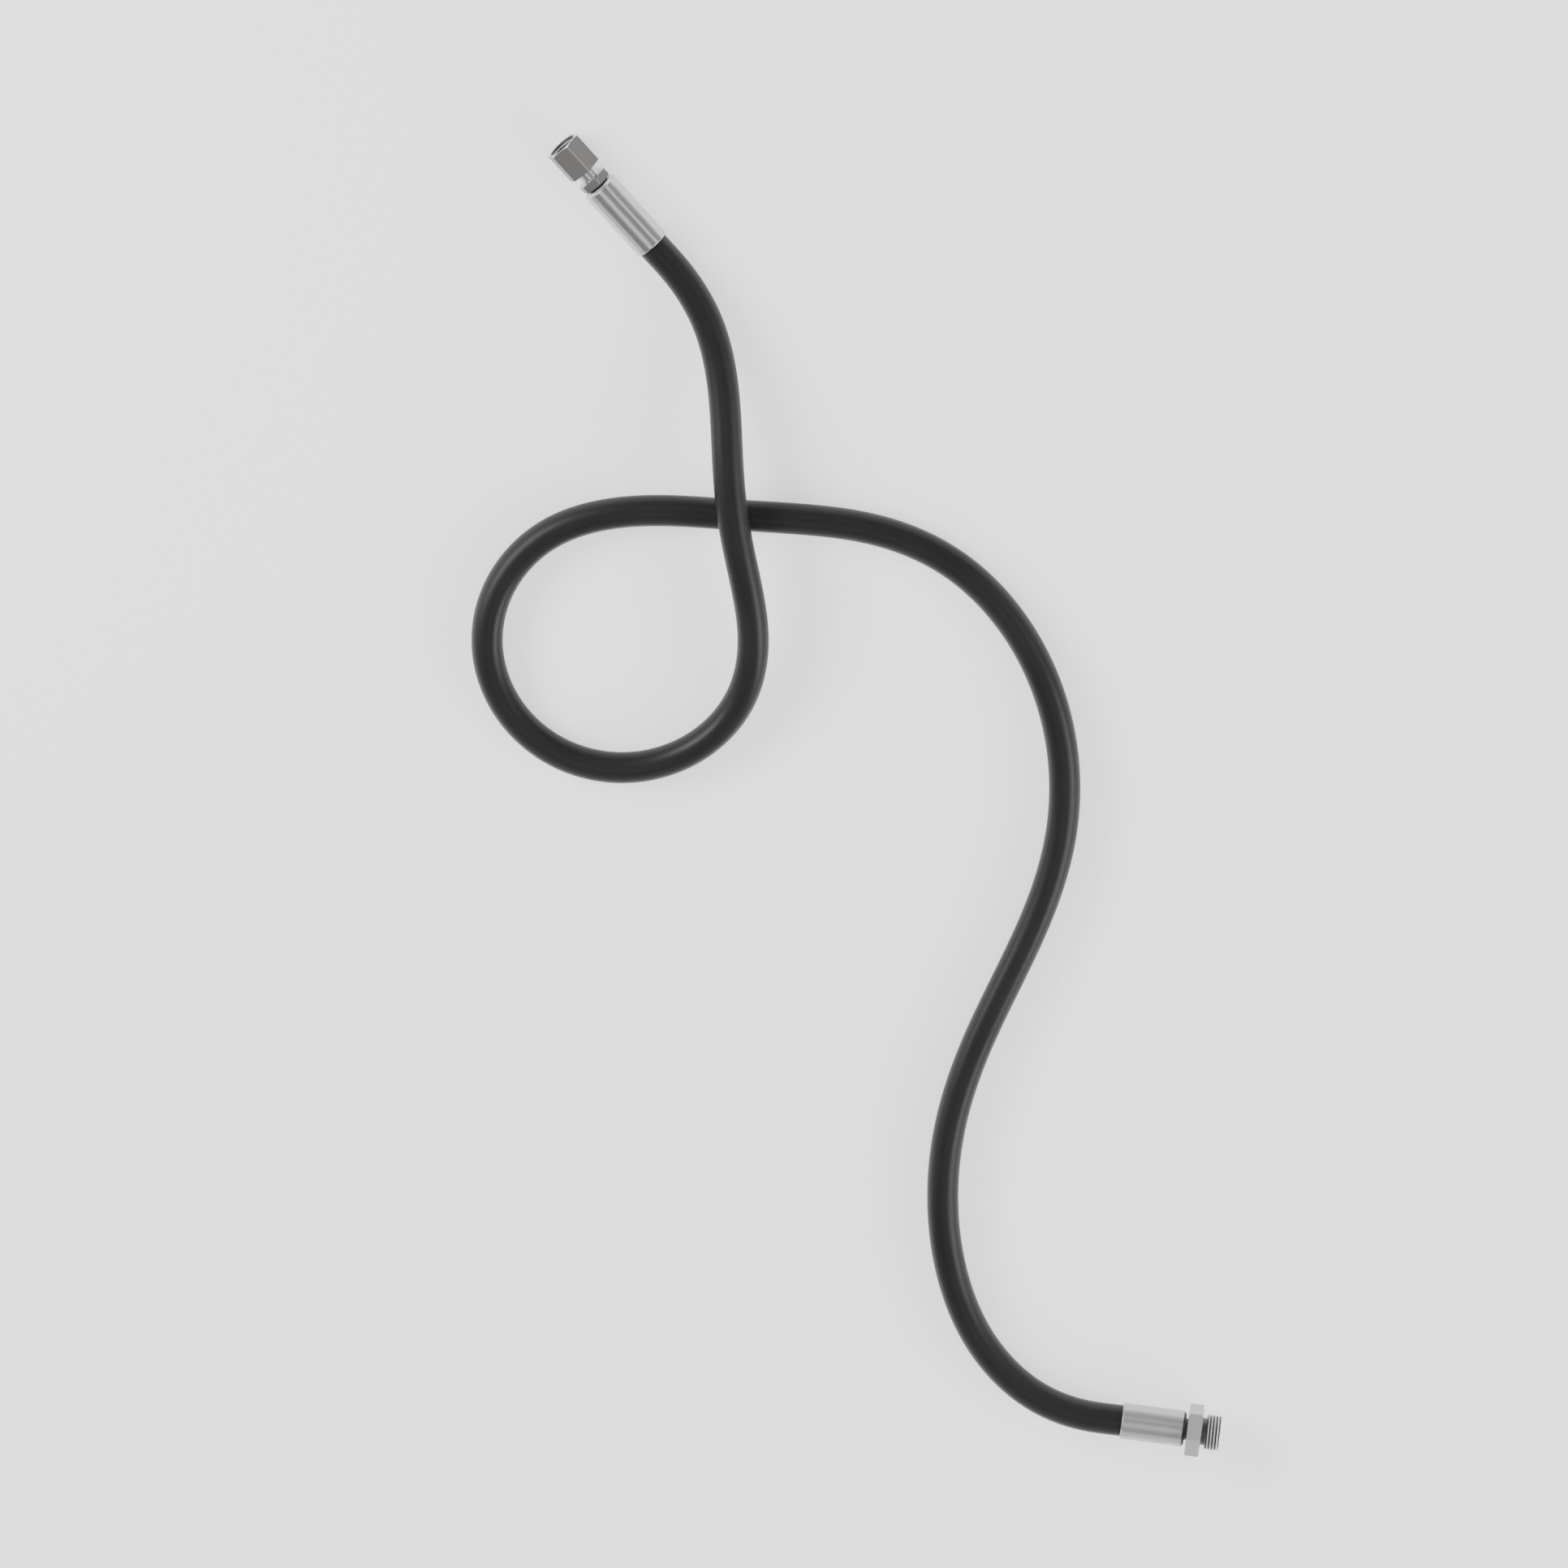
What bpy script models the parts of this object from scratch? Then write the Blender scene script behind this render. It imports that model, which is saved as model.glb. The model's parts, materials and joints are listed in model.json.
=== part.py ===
"""A hydraulic hose with a swivel nut at one end and a fixed male thread at the other.

Metres, +Z up, lying on the plane Z = 0. The origin is on that plane, in the middle of the
footprint of the two end fittings. The hose crosses over itself once, between its fittings.

Each end fitting is made along its own axis, in a frame whose origin is the middle of its
ferrule's mouth, where the hose goes in. There, local +Z runs out of the hose towards the
fitting's tip and local +X points up. Heights along a fitting are measured from that mouth.
"""

import math

import bmesh
import bpy
import numpy as np
from mathutils import Matrix, Vector

MM = 0.001

# Hose
HOSE_OD = 15.0 * MM
HOSE_BORE = 6.4 * MM
CRIMP_SQUEEZE = 0.4 * MM  # how far the ferrule presses the cover in, on the radius
HOSE_SIDES_SETTING = 4  # bevel resolution, which gives 12 sides
POINT_SPACING = 2 * HOSE_OD
LEAD_OUT = 15.0 * MM  # straight stretch of hose outside each ferrule

# Clearances between pieces that don't touch in the model
SEAT_GAP = 0.3 * MM
CROSSING_GAP = 0.4 * MM

# Ferrules
FERRULE_WALL = 1.2 * MM  # around the crimped hose
SWIVEL_FERRULE_LENGTH = 38.5 * MM
MALE_FERRULE_LENGTH = 30.5 * MM
MOUTH_LENGTH = 4.0 * MM  # uncrimped mouth
MOUTH_TAPER = 2.5 * MM
MOUTH_CHAMFER = 0.4 * MM
FRONT_CHAMFER = 1.3 * MM
LIP_LENGTH = 3.5 * MM  # the inward lip that locks on the stem

# What both stems share
STEM_BORE = 4.0 * MM
TAIL_SETBACK = 2.5 * MM  # from the ferrule's mouth to the tip of the tail
BARB_PITCH = 4.6 * MM
BARB_DEPTH = 0.35 * MM
TAIL_TIP_TAPER = 1.0 * MM
COLLAR_LENGTH = 3.0 * MM  # stands behind the ferrule's lip
LOCK_GROOVE_OD = 10.4 * MM
HEX_STANDOFF = 1.0 * MM  # the open gap between the ferrule and the hexagon
EDGE_CHAMFER = 0.3 * MM  # on the nose and the barrel

# Swivel end
SMALL_HEX_AF = 14.0 * MM
SMALL_HEX_THICKNESS = 4.0 * MM
SMALL_HEX_CHAMFER = 0.4 * MM
NECK_OD = 9.7 * MM
NECK_SHOWING = 4.8 * MM
NUT_AF = 16.0 * MM
NUT_LENGTH = 16.0 * MM
NUT_REAR_CHAMFER = 0.35 * MM
NUT_FRONT_CHAMFER = 0.7 * MM
NUT_THREAD_BORE = 12.4 * MM  # over the crests of the internal thread
NUT_MOUTH_BORE = 14.2 * MM
BARREL_SETBACK = 0.9 * MM  # from the nut's rear face to the barrel
BARREL_LENGTH = 4.6 * MM
NOSE_DEPTH = 5.3 * MM  # from the nut's front face to the cone's nose
NOSE_OD = 7.8 * MM
CONE_HALF_ANGLE = math.radians(12)
O_RING_THICKNESS = 1.3 * MM
O_RING_SETBACK = 2.2 * MM  # from the nose to the middle of the ring
O_RING_STANDS_PROUD = 0.3 * MM
WIRE_THICKNESS = 1.2 * MM
WIRE_OPENING = math.radians(30)
WIRE_HOLE = 1.8 * MM

# Male end
MALE_HEX_AF = 22.0 * MM
MALE_HEX_THICKNESS = 6.8 * MM
MALE_HEX_CHAMFER = 0.6 * MM
RELIEF_OD = 13.0 * MM
RELIEF_WIDTH = 2.1 * MM
THREAD_OD = 18.0 * MM
THREAD_LEAD = 1.0 * MM  # chamfer at the tip
MALE_REACH = 9.0 * MM  # from the hexagon to the tip
SOCKET_MOUTH = 12.0 * MM
TUBE_SOCKET = 10.0 * MM
SOCKET_DEPTH = 7.0 * MM
DRILL_HALF_ANGLE = math.radians(59)

# Where each fitting lies: its mouth's X and Y, the heading of its axis, and the turn of its
# hexagons from lying on a flat, about that axis
SWIVEL_MOUTH = (-0.1440, 0.2580)
SWIVEL_HEADING = math.radians(138.4)
SWIVEL_TURN = math.radians(-8.4)
MALE_MOUTH = (0.1510, -0.2945)
MALE_HEADING = math.radians(0)
MALE_TURN = math.radians(-27.5)

# The hose's route between its two straight ends. It leaves the swivel end, passes over the
# later stretch at OVER, turns a full loop on the floor and passes below itself at UNDER.
ON_FLOOR = HOSE_OD / 2
ROUTE = [
    (-0.1137, 0.2245, 0.0104),
    (-0.1006, 0.1890, 0.0159),
    (-0.0943, 0.1558, 0.0211),
    (-0.0881, 0.1294, 3 * ON_FLOOR + CROSSING_GAP),
    (-0.0792, 0.1015, 0.0214),
    (-0.0718, 0.0704, 0.0171),
    (-0.0750, 0.0381, 0.0119),
    (-0.0935, 0.0110, 0.0083),
    (-0.1230, -0.0031, ON_FLOOR),
    (-0.1557, -0.0005, ON_FLOOR),
    (-0.1826, 0.0182, ON_FLOOR),
    (-0.1965, 0.0478, ON_FLOOR),
    (-0.1935, 0.0805, ON_FLOOR),
    (-0.1745, 0.1074, ON_FLOOR),
    (-0.1380, 0.1240, ON_FLOOR),
    (-0.0881, 0.1294, ON_FLOOR),
    (-0.0580, 0.1315, ON_FLOOR),
    (-0.0228, 0.1313, ON_FLOOR),
    (0.0130, 0.1215, ON_FLOOR),
    (0.0437, 0.0995, ON_FLOOR),
    (0.0670, 0.0679, ON_FLOOR),
    (0.0808, 0.0315, ON_FLOOR),
    (0.0849, -0.0060, ON_FLOOR),
    (0.0800, -0.0446, ON_FLOOR),
    (0.0697, -0.0811, ON_FLOOR),
    (0.0585, -0.1184, ON_FLOOR),
    (0.0517, -0.1557, ON_FLOOR),
    (0.0521, -0.1945, ON_FLOOR),
    (0.0611, -0.2324, 0.0080),
    (0.0801, -0.2661, 0.0096),
    (0.1124, -0.2898, 0.0118),
]
OVER = 3
UNDER = 15

ROUND_STEPS = 36
HOLE_STEPS = 12
CURVE_STEPS = 40  # fine steps between two points of the route
TINY = 0.001 * MM
BLANK_OVERSIZE = 1.02  # turned blank over the hexagon's corners, so that they stay whole
CHAMFER_ANGLE = math.radians(30)
RING_SECTION_STEPS = 8
SHARP_ANGLE = math.radians(30)

STEEL = {"colour": (0.60, 0.60, 0.58), "metallic": 1.0, "roughness": 0.34}
DARK_STEEL = {"colour": (0.34, 0.33, 0.31), "metallic": 1.0, "roughness": 0.42}
HOSE_RUBBER = {"colour": (0.028, 0.028, 0.026), "metallic": 0.0, "roughness": 0.38}
SEAL_RUBBER = {"colour": (0.020, 0.020, 0.020), "metallic": 0.0, "roughness": 0.55}


# Sizes that follow from the ones above

HOSE_RADIUS = HOSE_OD / 2
CRIMPED_RADIUS = HOSE_RADIUS - CRIMP_SQUEEZE
FERRULE_BORE_RADIUS = CRIMPED_RADIUS + SEAT_GAP
FERRULE_RADIUS = FERRULE_BORE_RADIUS + FERRULE_WALL
LOCK_GROOVE_RADIUS = LOCK_GROOVE_OD / 2
SWIVEL_AXIS_HEIGHT = FERRULE_RADIUS
MALE_HEX_CORNER = MALE_HEX_AF / math.sqrt(3)
MALE_AXIS_HEIGHT = MALE_HEX_CORNER * math.cos(math.radians(30) - abs(MALE_TURN))


def collar_end(ferrule_length):
    """Where the stem's lock collar ends, just behind the ferrule's lip."""
    return ferrule_length - LIP_LENGTH - SEAT_GAP


def hose_end(ferrule_length):
    """Where the hose ends inside the ferrule, against the lock collar."""
    return collar_end(ferrule_length) - COLLAR_LENGTH - SEAT_GAP


def hex_start(ferrule_length):
    """The rear face of the hexagon next to the ferrule."""
    return ferrule_length + HEX_STANDOFF


SMALL_HEX_FRONT = hex_start(SWIVEL_FERRULE_LENGTH) + SMALL_HEX_THICKNESS
NUT_REAR = SMALL_HEX_FRONT + NECK_SHOWING
NUT_FRONT = NUT_REAR + NUT_LENGTH
BARREL_START = NUT_REAR + BARREL_SETBACK
BARREL_END = BARREL_START + BARREL_LENGTH
BARREL_RADIUS = NUT_THREAD_BORE / 2 - SEAT_GAP
WIRE_PLACE = (BARREL_START + BARREL_END) / 2
WIRE_RING_RADIUS = (BARREL_RADIUS + NUT_THREAD_BORE / 2) / 2
WIRE_GROOVE_HALF = WIRE_THICKNESS / 2 + SEAT_GAP
NOSE_PLACE = NUT_FRONT - NOSE_DEPTH
O_RING_PLACE = NOSE_PLACE - O_RING_SETBACK
MALE_HEX_FRONT = hex_start(MALE_FERRULE_LENGTH) + MALE_HEX_THICKNESS
MALE_TIP = MALE_HEX_FRONT + MALE_REACH


def cone_radius(place):
    """The cone nose's radius at a height along the swivel end."""
    return NOSE_OD / 2 + (NOSE_PLACE - place) * math.tan(CONE_HALF_ANGLE)


O_RING_RADIUS = cone_radius(O_RING_PLACE) + O_RING_STANDS_PROUD - O_RING_THICKNESS / 2


# Blender helpers


def clear_scene():
    for item in list(bpy.data.objects):
        bpy.data.objects.remove(item, do_unlink=True)


def make_material(name, look):
    material = bpy.data.materials.new(name)
    material.use_nodes = True
    shader = material.node_tree.nodes["Principled BSDF"]
    shader.inputs["Base Color"].default_value = (*look["colour"], 1.0)
    shader.inputs["Metallic"].default_value = look["metallic"]
    shader.inputs["Roughness"].default_value = look["roughness"]
    material.diffuse_color = (*look["colour"], 1.0)
    return material


def add_object(name, data, parent=None):
    item = bpy.data.objects.new(name, data)
    bpy.context.collection.objects.link(item)
    item.parent = parent
    return item


def add_fitting_frame(name, mouth, height, heading):
    """An empty at a ferrule's mouth, with +Z along the fitting's axis and +X up."""
    out = Vector((math.cos(heading), math.sin(heading), 0))
    up = Vector((0, 0, 1))
    frame = add_object(name, None)
    turn = Matrix((up, out.cross(up), out)).transposed()
    frame.matrix_world = Matrix.Translation((*mouth, height)) @ turn.to_4x4()
    return frame


def add_piece(name, shape, look, parent=None):
    """A named object from a bmesh, shaded smooth between its sharp edges."""
    bmesh.ops.recalc_face_normals(shape, faces=shape.faces)
    mesh = bpy.data.meshes.new(name)
    shape.to_mesh(mesh)
    shape.free()
    mesh.shade_smooth()
    mesh.set_sharp_from_angle(angle=SHARP_ANGLE)
    mesh.materials.append(make_material(name, look))
    return add_object(name, mesh, parent)


def turned(outline, steps=ROUND_STEPS):
    """Turn a closed outline of (radius, height) points about the local Z axis."""
    shape = bmesh.new()
    corners = [shape.verts.new((radius, 0, height)) for radius, height in outline]
    edges = [shape.edges.new((a, b)) for a, b in zip(corners, corners[1:] + corners[:1])]
    bmesh.ops.spin(
        shape,
        geom=corners + edges,
        cent=(0, 0, 0),
        axis=(0, 0, 1),
        angle=2 * math.pi,
        steps=steps,
        use_merge=True,
    )
    return shape


def between(shape, rear, front):
    """The vertices, edges and faces of a shape that lie between two heights."""
    verts = [vert for vert in shape.verts if rear - TINY <= vert.co.z <= front + TINY]
    inside = set(verts)
    edges = [edge for edge in shape.edges if inside.issuperset(edge.verts)]
    faces = [face for face in shape.faces if inside.issuperset(face.verts)]
    return verts + edges + faces


def mill_hexagon(shape, across_flats, rear, front, turn):
    """Mill six flats on a turned shape between two heights."""
    for side in range(6):
        angle = turn + side * math.radians(60)
        normal = Vector((math.cos(angle), math.sin(angle), 0))
        cut = bmesh.ops.bisect_plane(
            shape,
            geom=between(shape, rear, front),
            plane_co=normal * across_flats / 2,
            plane_no=normal,
            clear_outer=True,
        )
        edges = [item for item in cut["geom_cut"] if isinstance(item, bmesh.types.BMEdge)]
        bmesh.ops.edgeloop_fill(shape, edges=edges)


def hexagon_outline(across_flats, rear, front, rear_chamfer, front_chamfer):
    """Outline of a hexagon's turned blank, front to rear, with the chamfers on its corners."""
    corner = across_flats / math.sqrt(3) * BLANK_OVERSIZE
    slope = math.tan(CHAMFER_ANGLE)
    return [
        (corner - front_chamfer / slope, front),
        (corner, front - front_chamfer),
        (corner, rear + rear_chamfer),
        (corner - rear_chamfer / slope, rear),
    ]


def cut_away(piece, cutter):
    """Cut one object's shape out of another, then drop the cutter."""
    modifier = piece.modifiers.new("cut", "BOOLEAN")
    modifier.operation = "DIFFERENCE"
    modifier.object = cutter
    cutter.hide_render = True
    cutter.display_type = "WIRE"
    bpy.context.view_layer.update()
    graph = bpy.context.evaluated_depsgraph_get()
    mesh = bpy.data.meshes.new_from_object(piece.evaluated_get(graph))
    piece.modifiers.remove(modifier)
    piece.data = mesh
    mesh.shade_smooth()
    mesh.set_sharp_from_angle(angle=SHARP_ANGLE)
    bpy.data.objects.remove(cutter, do_unlink=True)


def add_rod(radius, start, end, parent, steps=ROUND_STEPS):
    """A plain round rod between two local points, to cut with."""
    start, end = Vector(start), Vector(end)
    shape = bmesh.new()
    bmesh.ops.create_cone(
        shape,
        cap_ends=True,
        segments=steps,
        radius1=radius,
        radius2=radius,
        depth=(end - start).length,
    )
    turn = (end - start).to_track_quat("Z", "Y").to_matrix().to_4x4()
    bmesh.ops.transform(
        shape, matrix=Matrix.Translation((start + end) / 2) @ turn, verts=shape.verts
    )
    mesh = bpy.data.meshes.new("cutter")
    shape.to_mesh(mesh)
    shape.free()
    return add_object("cutter", mesh, parent)


# Pieces of an end fitting


def add_ferrule(name, length, parent):
    """The crimped sleeve: open mouth, crimped grip, and a lip that locks on the stem."""
    mouth = HOSE_RADIUS + SEAT_GAP
    lip = LOCK_GROOVE_RADIUS + SEAT_GAP
    outline = [
        (FERRULE_RADIUS - FRONT_CHAMFER, length),
        (FERRULE_RADIUS, length - FRONT_CHAMFER),
        (FERRULE_RADIUS, MOUTH_CHAMFER),
        (FERRULE_RADIUS - MOUTH_CHAMFER, 0),
        (mouth, 0),
        (mouth, MOUTH_LENGTH),
        (FERRULE_BORE_RADIUS, MOUTH_LENGTH + MOUTH_TAPER),
        (FERRULE_BORE_RADIUS, length - LIP_LENGTH),
        (lip, length - LIP_LENGTH),
        (lip, length),
    ]
    return add_piece(name, turned(outline), STEEL, parent)


def stem_tail_outline(ferrule_length):
    """Outer outline from the ferrule's lip down to the tip of the barbed tail."""
    hose_bore_flat = HOSE_BORE / 2 * math.cos(math.pi / ROUND_STEPS)
    crest = hose_bore_flat - SEAT_GAP
    root = crest - BARB_DEPTH
    end = collar_end(ferrule_length)
    collar = CRIMPED_RADIUS
    shoulder = end - COLLAR_LENGTH
    points = [
        (LOCK_GROOVE_RADIUS, end),
        (collar, end),
        (collar, shoulder),
        (crest, shoulder),
    ]
    barbs = int((shoulder - TAIL_SETBACK - TAIL_TIP_TAPER) // BARB_PITCH)
    for barb in range(barbs):
        top = shoulder - (barb + 1) * BARB_PITCH
        points += [(crest, top + BARB_PITCH / 2), (root, top + BARB_PITCH / 2), (crest, top)]
    points += [(crest, TAIL_SETBACK + TAIL_TIP_TAPER), (root, TAIL_SETBACK)]
    return points


def add_swivel_stem(parent):
    """The turned stem that the nut turns on: cone nose, barrel, neck, hexagon and tail."""
    bore = STEM_BORE / 2
    neck = NECK_OD / 2
    groove_floor = O_RING_RADIUS - O_RING_THICKNESS / 2 - SEAT_GAP
    groove_front = O_RING_PLACE + O_RING_THICKNESS / 2 + SEAT_GAP
    groove_rear = O_RING_PLACE - O_RING_THICKNESS / 2 - SEAT_GAP
    wire_floor = WIRE_RING_RADIUS - WIRE_GROOVE_HALF
    rear = hex_start(SWIVEL_FERRULE_LENGTH)
    nose_side = NOSE_PLACE - EDGE_CHAMFER
    outline = [
        (cone_radius(NOSE_PLACE) - EDGE_CHAMFER, NOSE_PLACE),
        (cone_radius(nose_side), nose_side),
        (cone_radius(groove_front), groove_front),
        (groove_floor, groove_front),
        (groove_floor, groove_rear),
        (cone_radius(groove_rear), groove_rear),
        (cone_radius(BARREL_END), BARREL_END),
        (BARREL_RADIUS - EDGE_CHAMFER, BARREL_END),
        (BARREL_RADIUS, BARREL_END - EDGE_CHAMFER),
        (BARREL_RADIUS, WIRE_PLACE + WIRE_GROOVE_HALF),
        (wire_floor, WIRE_PLACE + WIRE_GROOVE_HALF),
        (wire_floor, WIRE_PLACE - WIRE_GROOVE_HALF),
        (BARREL_RADIUS, WIRE_PLACE - WIRE_GROOVE_HALF),
        (BARREL_RADIUS, BARREL_START),
        (neck, BARREL_START),
        (neck, SMALL_HEX_FRONT),
        *hexagon_outline(
            SMALL_HEX_AF, rear, SMALL_HEX_FRONT, SMALL_HEX_CHAMFER, SMALL_HEX_CHAMFER
        ),
        (LOCK_GROOVE_RADIUS, rear),
        *stem_tail_outline(SWIVEL_FERRULE_LENGTH),
        (bore, TAIL_SETBACK),
        (bore, NOSE_PLACE),
    ]
    shape = turned(outline)
    mill_hexagon(shape, SMALL_HEX_AF, rear, SMALL_HEX_FRONT, SWIVEL_TURN)
    return add_piece("stem_swivel_end", shape, DARK_STEEL, parent)


def add_swivel_nut(parent):
    """The free-turning nut, with the groove and feed hole of its retaining wire."""
    bore = NUT_THREAD_BORE / 2
    mouth = NUT_MOUTH_BORE / 2
    wire_roof = WIRE_RING_RADIUS + WIRE_GROOVE_HALF
    outline = [
        *hexagon_outline(NUT_AF, NUT_REAR, NUT_FRONT, NUT_REAR_CHAMFER, NUT_FRONT_CHAMFER),
        (bore, NUT_REAR),
        (bore, WIRE_PLACE - WIRE_GROOVE_HALF),
        (wire_roof, WIRE_PLACE - WIRE_GROOVE_HALF),
        (wire_roof, WIRE_PLACE + WIRE_GROOVE_HALF),
        (bore, WIRE_PLACE + WIRE_GROOVE_HALF),
        (bore, NUT_FRONT - (mouth - bore)),
        (mouth, NUT_FRONT),
    ]
    shape = turned(outline)
    mill_hexagon(shape, NUT_AF, NUT_REAR, NUT_FRONT, SWIVEL_TURN)
    nut = add_piece("swivel_nut", shape, DARK_STEEL, parent)
    down = SWIVEL_TURN + math.pi
    away = Vector((math.cos(down), math.sin(down), 0))
    place = Vector((0, 0, WIRE_PLACE))
    start = place + away * WIRE_RING_RADIUS
    hole = add_rod(WIRE_HOLE / 2, start, place + away * NUT_AF, parent, steps=HOLE_STEPS)
    cut_away(nut, hole)
    return nut


def ring_section(radius, thickness, place):
    """The round section of a ring, as an outline to turn."""
    points = []
    for step in range(RING_SECTION_STEPS):
        angle = -2 * math.pi * step / RING_SECTION_STEPS
        points.append(
            (
                radius + thickness / 2 * math.cos(angle),
                place + thickness / 2 * math.sin(angle),
            )
        )
    return points


def add_retaining_wire(parent):
    """An open ring of round wire, half in the nut's groove and half in the stem's."""
    section = ring_section(WIRE_RING_RADIUS, WIRE_THICKNESS, WIRE_PLACE)
    shape = bmesh.new()
    corners = [shape.verts.new((radius, 0, height)) for radius, height in section]
    first = shape.faces.new(corners)
    start = SWIVEL_TURN + math.pi + WIRE_OPENING / 2
    bmesh.ops.rotate(shape, verts=corners, matrix=Matrix.Rotation(start, 3, "Z"))
    bmesh.ops.spin(
        shape,
        geom=[first],
        cent=(0, 0, 0),
        axis=(0, 0, 1),
        angle=2 * math.pi - WIRE_OPENING,
        steps=ROUND_STEPS,
    )
    return add_piece("nut_retaining_wire", shape, STEEL, parent)


def add_o_ring(parent):
    section = ring_section(O_RING_RADIUS, O_RING_THICKNESS, O_RING_PLACE)
    return add_piece("cone_o_ring", turned(section), SEAL_RUBBER, parent)


def add_male_stem(parent):
    """The turned stem with the fixed hexagon, male thread and cone socket."""
    bore = STEM_BORE / 2
    thread = THREAD_OD / 2
    relief = RELIEF_OD / 2
    tube = TUBE_SOCKET / 2
    rear = hex_start(MALE_FERRULE_LENGTH)
    floor = MALE_TIP - SOCKET_DEPTH
    cone_depth = (SOCKET_MOUTH / 2 - tube) / math.tan(CONE_HALF_ANGLE)
    outline = [
        (thread - THREAD_LEAD, MALE_TIP),
        (thread, MALE_TIP - THREAD_LEAD),
        (thread, MALE_HEX_FRONT + RELIEF_WIDTH),
        (relief, MALE_HEX_FRONT + RELIEF_WIDTH),
        (relief, MALE_HEX_FRONT),
        *hexagon_outline(
            MALE_HEX_AF, rear, MALE_HEX_FRONT, MALE_HEX_CHAMFER, MALE_HEX_CHAMFER
        ),
        (LOCK_GROOVE_RADIUS, rear),
        *stem_tail_outline(MALE_FERRULE_LENGTH),
        (bore, TAIL_SETBACK),
        (bore, floor - (tube - bore) / math.tan(DRILL_HALF_ANGLE)),
        (tube, floor),
        (tube, MALE_TIP - cone_depth),
        (SOCKET_MOUTH / 2, MALE_TIP),
    ]
    shape = turned(outline)
    mill_hexagon(shape, MALE_HEX_AF, rear, MALE_HEX_FRONT, MALE_TURN)
    return add_piece("stem_male_end", shape, STEEL, parent)


# The hose


def hermite(share, start, end, start_slope, end_slope):
    """A cubic between two points, from 0 to 1, with the slopes scaled to the span."""
    share = share[:, None]
    return (
        (2 * share**3 - 3 * share**2 + 1) * start
        + (share**3 - 2 * share**2 + share) * start_slope
        + (3 * share**2 - 2 * share**3) * end
        + (share**3 - share**2) * end_slope
    )


def smooth_curve(points, start_direction, end_direction):
    """A dense line on the smooth cubic curve through points, and each point's place on it."""
    points = np.array(points, dtype=float)
    spans = np.linalg.norm(np.diff(points, axis=0), axis=1)
    count = len(points)
    system = np.eye(count)
    right = np.zeros((count, 3))
    right[0] = start_direction
    right[-1] = end_direction
    for i in range(1, count - 1):
        before, after = spans[i - 1], spans[i]
        system[i, i - 1 : i + 2] = (after, 2 * (before + after), before)
        rise_before = (points[i] - points[i - 1]) / before
        rise_after = (points[i + 1] - points[i]) / after
        right[i] = 3 * (after * rise_before + before * rise_after)
    slopes = np.linalg.solve(system, right)
    share = np.arange(CURVE_STEPS) / CURVE_STEPS
    line = [
        hermite(share, points[i], points[i + 1], span * slopes[i], span * slopes[i + 1])
        for i, span in enumerate(spans)
    ]
    line = np.vstack([*line, points[-1:]])
    return line, np.arange(count) * CURVE_STEPS


def evenly_spaced(line, spacing):
    """Points at even steps along a dense line, both its ends included."""
    along = np.concatenate([[0], np.cumsum(np.linalg.norm(np.diff(line, axis=0), axis=1))])
    places = np.linspace(0, along[-1], round(along[-1] / spacing) + 1)
    return np.column_stack([np.interp(places, along, line[:, axis]) for axis in range(3)])


def free_route(swivel, male):
    """The hose's middle line between the two ferrule mouths."""
    swivel_out = swivel.matrix_world.to_3x3().col[2]
    male_out = male.matrix_world.to_3x3().col[2]
    start = swivel.matrix_world.translation
    end = male.matrix_world.translation
    points = [start, start - swivel_out * LEAD_OUT, *ROUTE, end - male_out * LEAD_OUT, end]
    line, places = smooth_curve(points, -swivel_out, male_out)
    line[:, 2] = np.maximum(line[:, 2], ON_FLOOR)
    over, under = places[OVER + 2], places[UNDER + 2]
    stretches = [line[: over + 1], line[over : under + 1], line[under:]]
    spaced = [evenly_spaced(stretch, POINT_SPACING) for stretch in stretches]
    return np.vstack([spaced[0], spaced[1][1:], spaced[2][1:]])


def crimped_end(frame, ferrule_length):
    """The hose's points inside a ferrule, from its mouth inwards, with their radii."""
    places = [
        (MOUTH_LENGTH - SEAT_GAP, HOSE_RADIUS),
        (MOUTH_LENGTH + MOUTH_TAPER - SEAT_GAP, CRIMPED_RADIUS),
        (hose_end(ferrule_length), CRIMPED_RADIUS),
    ]
    return [(frame.matrix_world @ Vector((0, 0, place)), radius) for place, radius in places]


def add_hose(swivel, male):
    """The whole hose, from inside one ferrule to inside the other."""
    middle = [(Vector(point), HOSE_RADIUS) for point in free_route(swivel, male)]
    start = crimped_end(swivel, SWIVEL_FERRULE_LENGTH)[::-1]
    end = crimped_end(male, MALE_FERRULE_LENGTH)
    stations = start + middle + end

    curve = bpy.data.curves.new("hose", "CURVE")
    curve.dimensions = "3D"
    curve.twist_mode = "Z_UP"
    curve.bevel_depth = HOSE_RADIUS
    curve.bevel_resolution = HOSE_SIDES_SETTING
    curve.use_fill_caps = True
    spline = curve.splines.new("POLY")
    spline.points.add(len(stations) - 1)
    for point, (place, radius) in zip(spline.points, stations):
        point.co = (*place, 1)
        point.radius = radius / HOSE_RADIUS
    tube = add_object("hose_tube", curve)
    bpy.context.view_layer.update()
    graph = bpy.context.evaluated_depsgraph_get()
    shape = bmesh.new()
    shape.from_mesh(tube.evaluated_get(graph).to_mesh())
    bpy.data.objects.remove(tube, do_unlink=True)
    hose = add_piece("hose", shape, HOSE_RUBBER)

    for frame, length in ((swivel, SWIVEL_FERRULE_LENGTH), (male, MALE_FERRULE_LENGTH)):
        deep = TAIL_SETBACK - SEAT_GAP
        past = hose_end(length) + SEAT_GAP
        cut_away(hose, add_rod(HOSE_BORE / 2, (0, 0, deep), (0, 0, past), frame))
    return hose


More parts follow.
